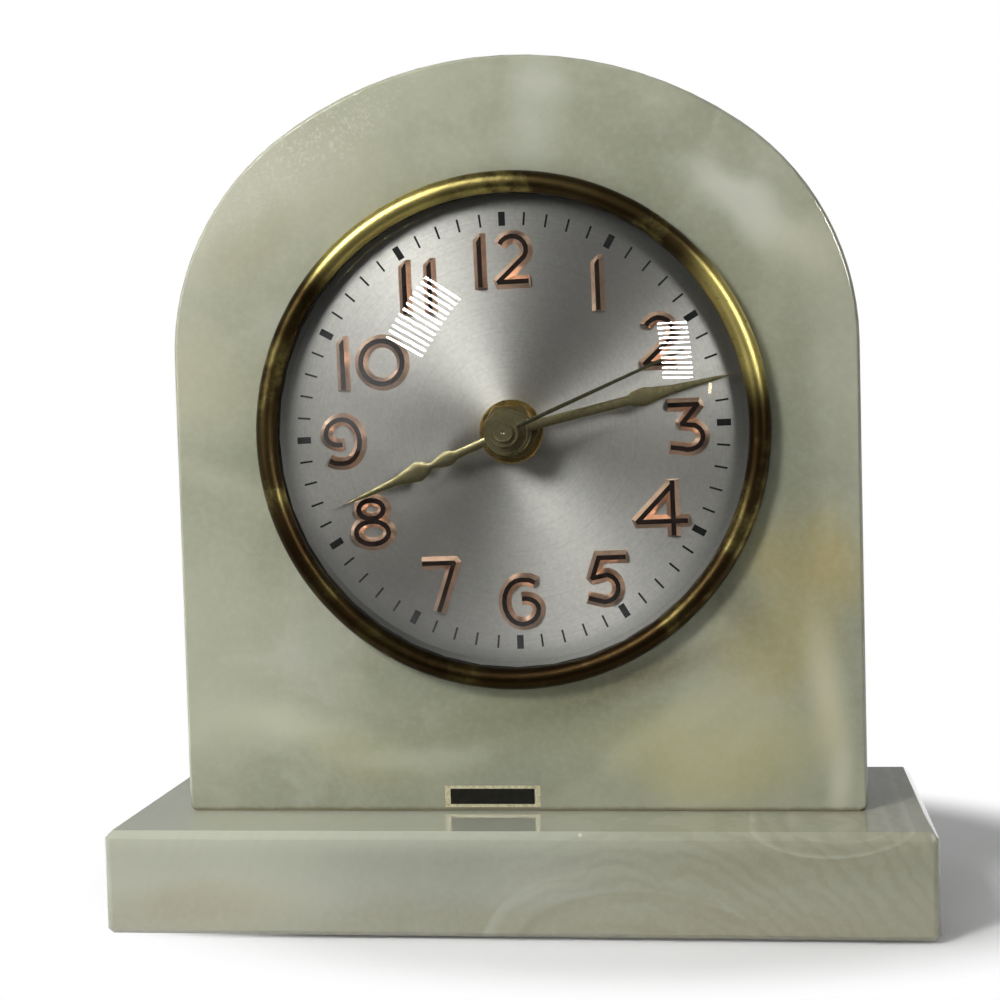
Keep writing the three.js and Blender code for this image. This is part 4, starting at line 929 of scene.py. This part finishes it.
def joined(whole, part):  # two bmeshes as one
    mesh = bpy.data.meshes.new("part")
    part.to_mesh(mesh)
    part.free()
    whole.from_mesh(mesh)
    bpy.data.meshes.remove(mesh)
    return whole


hourLeaf = {
    "stations": [
        (4.6, 0.21),
        (12.2, 0.21),
        (12.8, 0.31),
        (14.3, 0.38),
        (16, 0.29),
        (17.4, 0.18),
        (18.4, 0.16),
        (19.6, 0.36),
        (21.2, 0.5),
        (23.5, 0.37),
        (27, 0.21),
        (32, 0.14),
        (39.6, 0.03),
    ],
    "width": 4.3,
    "reach": 39.6,
    "root": 4.71,
    "tip": 0.51,
    "clockwise": 247.8,
}
hourBoss = {"bore": 3.3, "rim": 5.0, "back": 3.51, "front": 5.91}
hand = joined(makeBlade(**hourLeaf), makeBoss(**hourBoss))
finishPiece(hand, "hour_leaf", "hour", [gilt], ["hour_hand"])

minuteLeaf = {
    "stations": [
        (4.2, 0.26),
        (26.2, 0.26),
        (27.2, 0.41),
        (29.4, 0.5),
        (32, 0.37),
        (36, 0.23),
        (42, 0.14),
        (48.6, 0.03),
    ],
    "width": 3.9,
    "reach": 48.6,
    "root": 7.61,
    "tip": 0.4,
    "clockwise": 77,
}
minuteBoss = {"bore": 2.2, "rim": 4.6, "back": 6.41, "front": 8.81}
hand = joined(makeBlade(**minuteLeaf), makeBoss(**minuteBoss))
finishPiece(hand, "minute_leaf", "minute", [gilt], ["minute_hand"])

needleLeaf = {
    "stations": [(2.6, 0.5), (40.4, 0.33)],
    "width": 0.9,
    "reach": 40.4,
    "root": 10.61,
    "tip": 4.4,
    "clockwise": 66.6,
    "crown": 0.06,
    "steps": 40,
}
hubSize = {
    "rim": 3.0,
    "edge": 0.15,
    "back": 9.31,
    "front": 11.91,
    "cap": 1.95,
    "capEdge": 0.3,
    "capFront": 13.01,
    "dimple": 0.5,
    "dimpleFloor": 12.6,
    "steps": 64,
}
size = hubSize
profile = [
    (0, size["back"]),
    (size["rim"] - size["edge"], size["back"]),
    (size["rim"], size["back"] + size["edge"]),
    (size["rim"], size["front"] - size["edge"]),
    (size["rim"] - size["edge"], size["front"]),
    (size["cap"], size["front"]),
    (size["cap"], size["capFront"] - size["capEdge"]),
    (size["cap"] - size["capEdge"], size["capFront"]),
    (size["dimple"], size["capFront"]),
    (0, size["dimpleFloor"]),
]
hub = lathe(profile, size["steps"], closed=False)
for f in hub.faces:
    f.material_index = 1
hand = joined(makeBlade(**needleLeaf), hub)
finishPiece(hand, "sweep_needle", "second", [darkGilt, gilt], ["second_hand"])
print("hands made")

# Back of the case
coverEdge = 0.3
knobEdge = 0.2
cover = roundEdges(copyOf("rear_cover"), coverEdge, least=50)
finishPiece(cover, "back_cover", "case", [blackEnamel], ["rear_cover"])
knob = roundEdges(copyOf("set_knob"), knobEdge, least=40)
finishPiece(knob, "setting_knob", "setting", [brightBrass], ["set_knob"])

# The rest keeps its own solid and gets its finish, by how its name starts
screws = ("stud_", "cover_post", "cover_screw", "plate_screw")
wheels = ("hour_wheel", "cannon_pinion", "centre_wheel", "intermediate_wheel", "rotor_pinion")
plates = ("front_plate", "back_plate", "plate_pillar")
finishes = {
    felt: ("base_felt",),
    zincSteel: (*screws, "dial_pan", "seconds_arbor", "clutch_spring"),
    brightBrass: (*wheels, *plates, "centre_bushing", "set_arbor", "rotor_unit"),
    laminatedSteel: ("stator_core",),
    phenolic: ("coil_bobbin",),
    wire: ("field_coil",),
    card: ("glass_spacer",),
    rubber: ("cord_grommet",),
}
for material, starts in finishes.items():
    for name, solid in nodes.items():
        if name.startswith(starts):
            for slot in solid.material_slots:
                slot.material = material
print("solids finished")

# Stage: white floor and backdrop that keep the object's shadow
stageLook = {
    "size": 3,
    "under": -0.0002,  # just below the felt
    "open": 0.08,  # glow of the board near the clock
    "centre": (0.02, 0.03, 0),
    "reach": (0.115, 0.09),
    "fadeFrom": 0.85,
    "fadeTo": 1.15,
    "room": 0.05,  # glow of the dim room in front
    "behind": 0.34,  # glow of the pale board behind
    "roomFrom": -0.045,
    "roomTo": -0.1,
    "skyFrom": -0.35,  # a ray's way along y where the room ends
    "skyTo": 0.3,
}


def seenRays(tree):  # 1 for what the camera sees, straight or through glass
    ray = add(tree, "LightPath").outputs
    return add(tree, "Math", {0: ray["Is Camera Ray"], 1: ray["Is Transmission Ray"]}, operation="MAXIMUM")


look = stageLook
floorMesh = bmesh.new()
bmesh.ops.create_grid(floorMesh, x_segments=1, y_segments=1, size=look["size"])
floorData = bpy.data.meshes.new("floor")
floorMesh.to_mesh(floorData)
floorMesh.free()
floor = bpy.data.objects.new("floor", floorData)
floor.location.z = look["under"]
scene.collection.objects.link(floor)
matt = {"Roughness": 0.9, "Base Color": "#EDEDED", "Specular IOR Level": 0.1}
white, tree, shader, place = newMaterial("white board", matt)  # matt white, plain white far off
lit = add(tree, "Emission", {"Strength": look["open"]})
both = add(tree, "AddShader", {0: shader, 1: lit})
plain = add(tree, "Emission", {"Strength": 1.0})
away = add(tree, "VectorMath", {0: place, 1: look["centre"]}, operation="SUBTRACT")
scale = (1 / look["reach"][0], 1 / look["reach"][1], 0)
away = add(tree, "VectorMath", {0: away, 1: scale}, operation="MULTIPLY")
away = add(tree, "VectorMath", {0: away}, operation="LENGTH")
far = {"Value": away, "From Min": look["fadeFrom"], "From Max": look["fadeTo"]}
far = add(tree, "MapRange", far, **eased)
seen = add(tree, "MixShader", {0: far, 1: both, 2: plain})
room = add(tree, "Emission", {"Strength": look["room"]})
depth = add(tree, "SeparateXYZ", {0: place}).outputs[1]
ahead = {"Value": depth, "From Min": look["roomFrom"], "From Max": look["roomTo"]}
ahead = add(tree, "MapRange", ahead, **eased)  # the board ends in front, where the room begins
mirrored = add(tree, "MixShader", {0: ahead, 1: seen, 2: room})
glossy = add(tree, "LightPath").outputs["Is Glossy Ray"]
ends = add(tree, "MixShader", {0: glossy, 1: shader, 2: mirrored})
setSurface(tree, add(tree, "MixShader", {0: seenRays(tree), 1: ends, 2: seen}))
floorData.materials.append(white)

# World: white where it is seen; mirrors find the dim room in front and the pale board behind
world = bpy.data.worlds.new("studio")
scene.world = world
world.use_nodes = True
tree = world.node_tree
tree.nodes.clear()
way = add(tree, "SeparateXYZ", {0: add(tree, "TexCoord").outputs["Generated"]}).outputs[1]
ends = {"From Min": look["skyFrom"], "From Max": look["skyTo"]}
glows = {"To Min": look["room"], "To Max": look["behind"]}
level = add(tree, "MapRange", {"Value": way, **ends, **glows}, **eased)
dim = add(tree, "Background", {"Strength": level})
bright = add(tree, "Background", {"Color": (1, 1, 1, 1), "Strength": 1.0})
sky = add(tree, "MixShader", {0: seenRays(tree), 1: dim, 2: bright})
add(tree, "OutputWorld", {"Surface": sky})


# Lamps: "across" is the way a lamp's width lies, and "slats" are bright bars with gaps between them
def softbox(name, at, aim, size, watts, across=(1, 0, 0), colour="#FFFFFF", mirrored=True, spread=True):
    light = bpy.data.lights.new(name, "AREA")
    light.shape = "RECTANGLE"
    light.size, light.size_y = size
    light.energy = watts
    light.color = linear(colour)[:3]
    lamp = bpy.data.objects.new(name, light)
    scene.collection.objects.link(lamp)
    away = (Vector(at) - Vector(aim)).normalized()
    upward = away.cross(Vector(across)).normalized()
    facing = Matrix((upward.cross(away), upward, away)).transposed().to_4x4()
    lamp.matrix_world = Matrix.Translation(at) @ facing
    lamp.visible_glossy = lamp.visible_transmission = mirrored
    lamp.visible_diffuse = spread
    return light


def clearLight(light):  # its empty node tree, and where a ray meets it
    light.use_nodes = True
    light.node_tree.nodes.clear()
    return light.node_tree, add(light.node_tree, "NewGeometry").outputs["Parametric"]


def addSlats(light, count, gap=0.6, full=0.68):  # a gap's share of each bar, and where it is fully bright
    tree, spot = clearLight(light)
    along = add(tree, "SeparateXYZ", {0: spot}).outputs[1]
    step = add(tree, "Math", {0: along, 1: count}, operation="MULTIPLY")
    step = add(tree, "Math", {0: step, 1: 1.0}, operation="MODULO")
    bars = add(tree, "MapRange", {"Value": step, "From Min": gap, "From Max": full}, **eased)
    add(tree, "OutputLight", {"Surface": add(tree, "Emission", {"Strength": bars})})


def fadeEdges(light, edge=0.5, middle=0.1):  # distances from the middle, as shares of its size
    tree, spot = clearLight(light)
    off = add(tree, "VectorMath", {0: spot, 1: (0.5, 0.5, 0)}, operation="SUBTRACT")
    off = add(tree, "VectorMath", {0: off, 1: (1, 1, 0)}, operation="MULTIPLY")
    off = add(tree, "VectorMath", {0: off}, operation="LENGTH")
    glow = add(tree, "MapRange", {"Value": off, "From Min": edge, "From Max": middle}, **eased)
    add(tree, "OutputLight", {"Surface": add(tree, "Emission", {"Strength": glow})})


windowLeft = {
    "at": (-0.295, -0.474, 0.413),
    "aim": (-0.017, -0.025, 0.129),
    "size": (0.133, 0.208),
    "watts": 7.6,
    "across": (0.09, -0.085, -0.047),
}
windowRight = {
    "at": (0.403, -0.458, 0.307),
    "aim": (0.036, -0.022, 0.12),
    "size": (0.09, 0.17),
    "watts": 4.2,
    "across": (0.0685, 0.0555, -0.005),
    "spread": False,
}
smallLamp = {
    "at": (0.485, -0.415, 0.202),
    "aim": onFace(42.6, 8, 6),
    "size": (0.01, 0.03),
    "watts": 0.02,
    "colour": "#FFE9B8",
    "spread": False,
}
glassAim = onFace(0, 0, 13)
wallLeft = {"at": (-1.0, -0.9, 0.35), "aim": glassAim, "size": (1.3, 1.2), "watts": 7.5, "spread": False}
skyLeft = {"at": (-0.65, -0.6, 0.6), "aim": glassAim, "size": (0.9, 0.9), "watts": 1.8, "mirrored": False}
overhead = {"at": (-0.2, -0.25, 1.0), "aim": glassAim, "size": (1.0, 0.6), "watts": 2.2, "mirrored": False}
windowSlats = 12
addSlats(softbox("window left", **windowLeft), windowSlats)
addSlats(softbox("window right", **windowRight), windowSlats)
softbox("small lamp right", **smallLamp)
fadeEdges(softbox("wall left", **wallLeft))
softbox("sky left", **skyLeft)
softbox("overhead", **overhead)
print("lamps placed")

# Camera, as the photograph was taken
view = {
    "lens": 66.6,
    "film": 36,
    "at": (0.048956, -0.406892, 0.109606),
    "right": (0.99126, 0.12899, -0.02764),
    "up": (0.02088, 0.05336, 0.99836),
    "ahead": (-0.13026, 0.99021, -0.0502),
}
camera = bpy.data.cameras.new("camera")
camera.lens = view["lens"]
camera.sensor_width = view["film"]
camera.clip_start = 0.01
eye = bpy.data.objects.new("camera", camera)
scene.collection.objects.link(eye)
right, up, ahead = Vector(view["right"]), Vector(view["up"]), Vector(view["ahead"])
eye.matrix_world = Matrix((right, up, -ahead)).transposed().to_4x4()
eye.location = view["at"]
scene.camera = eye
scene.view_settings.view_transform = "Standard"
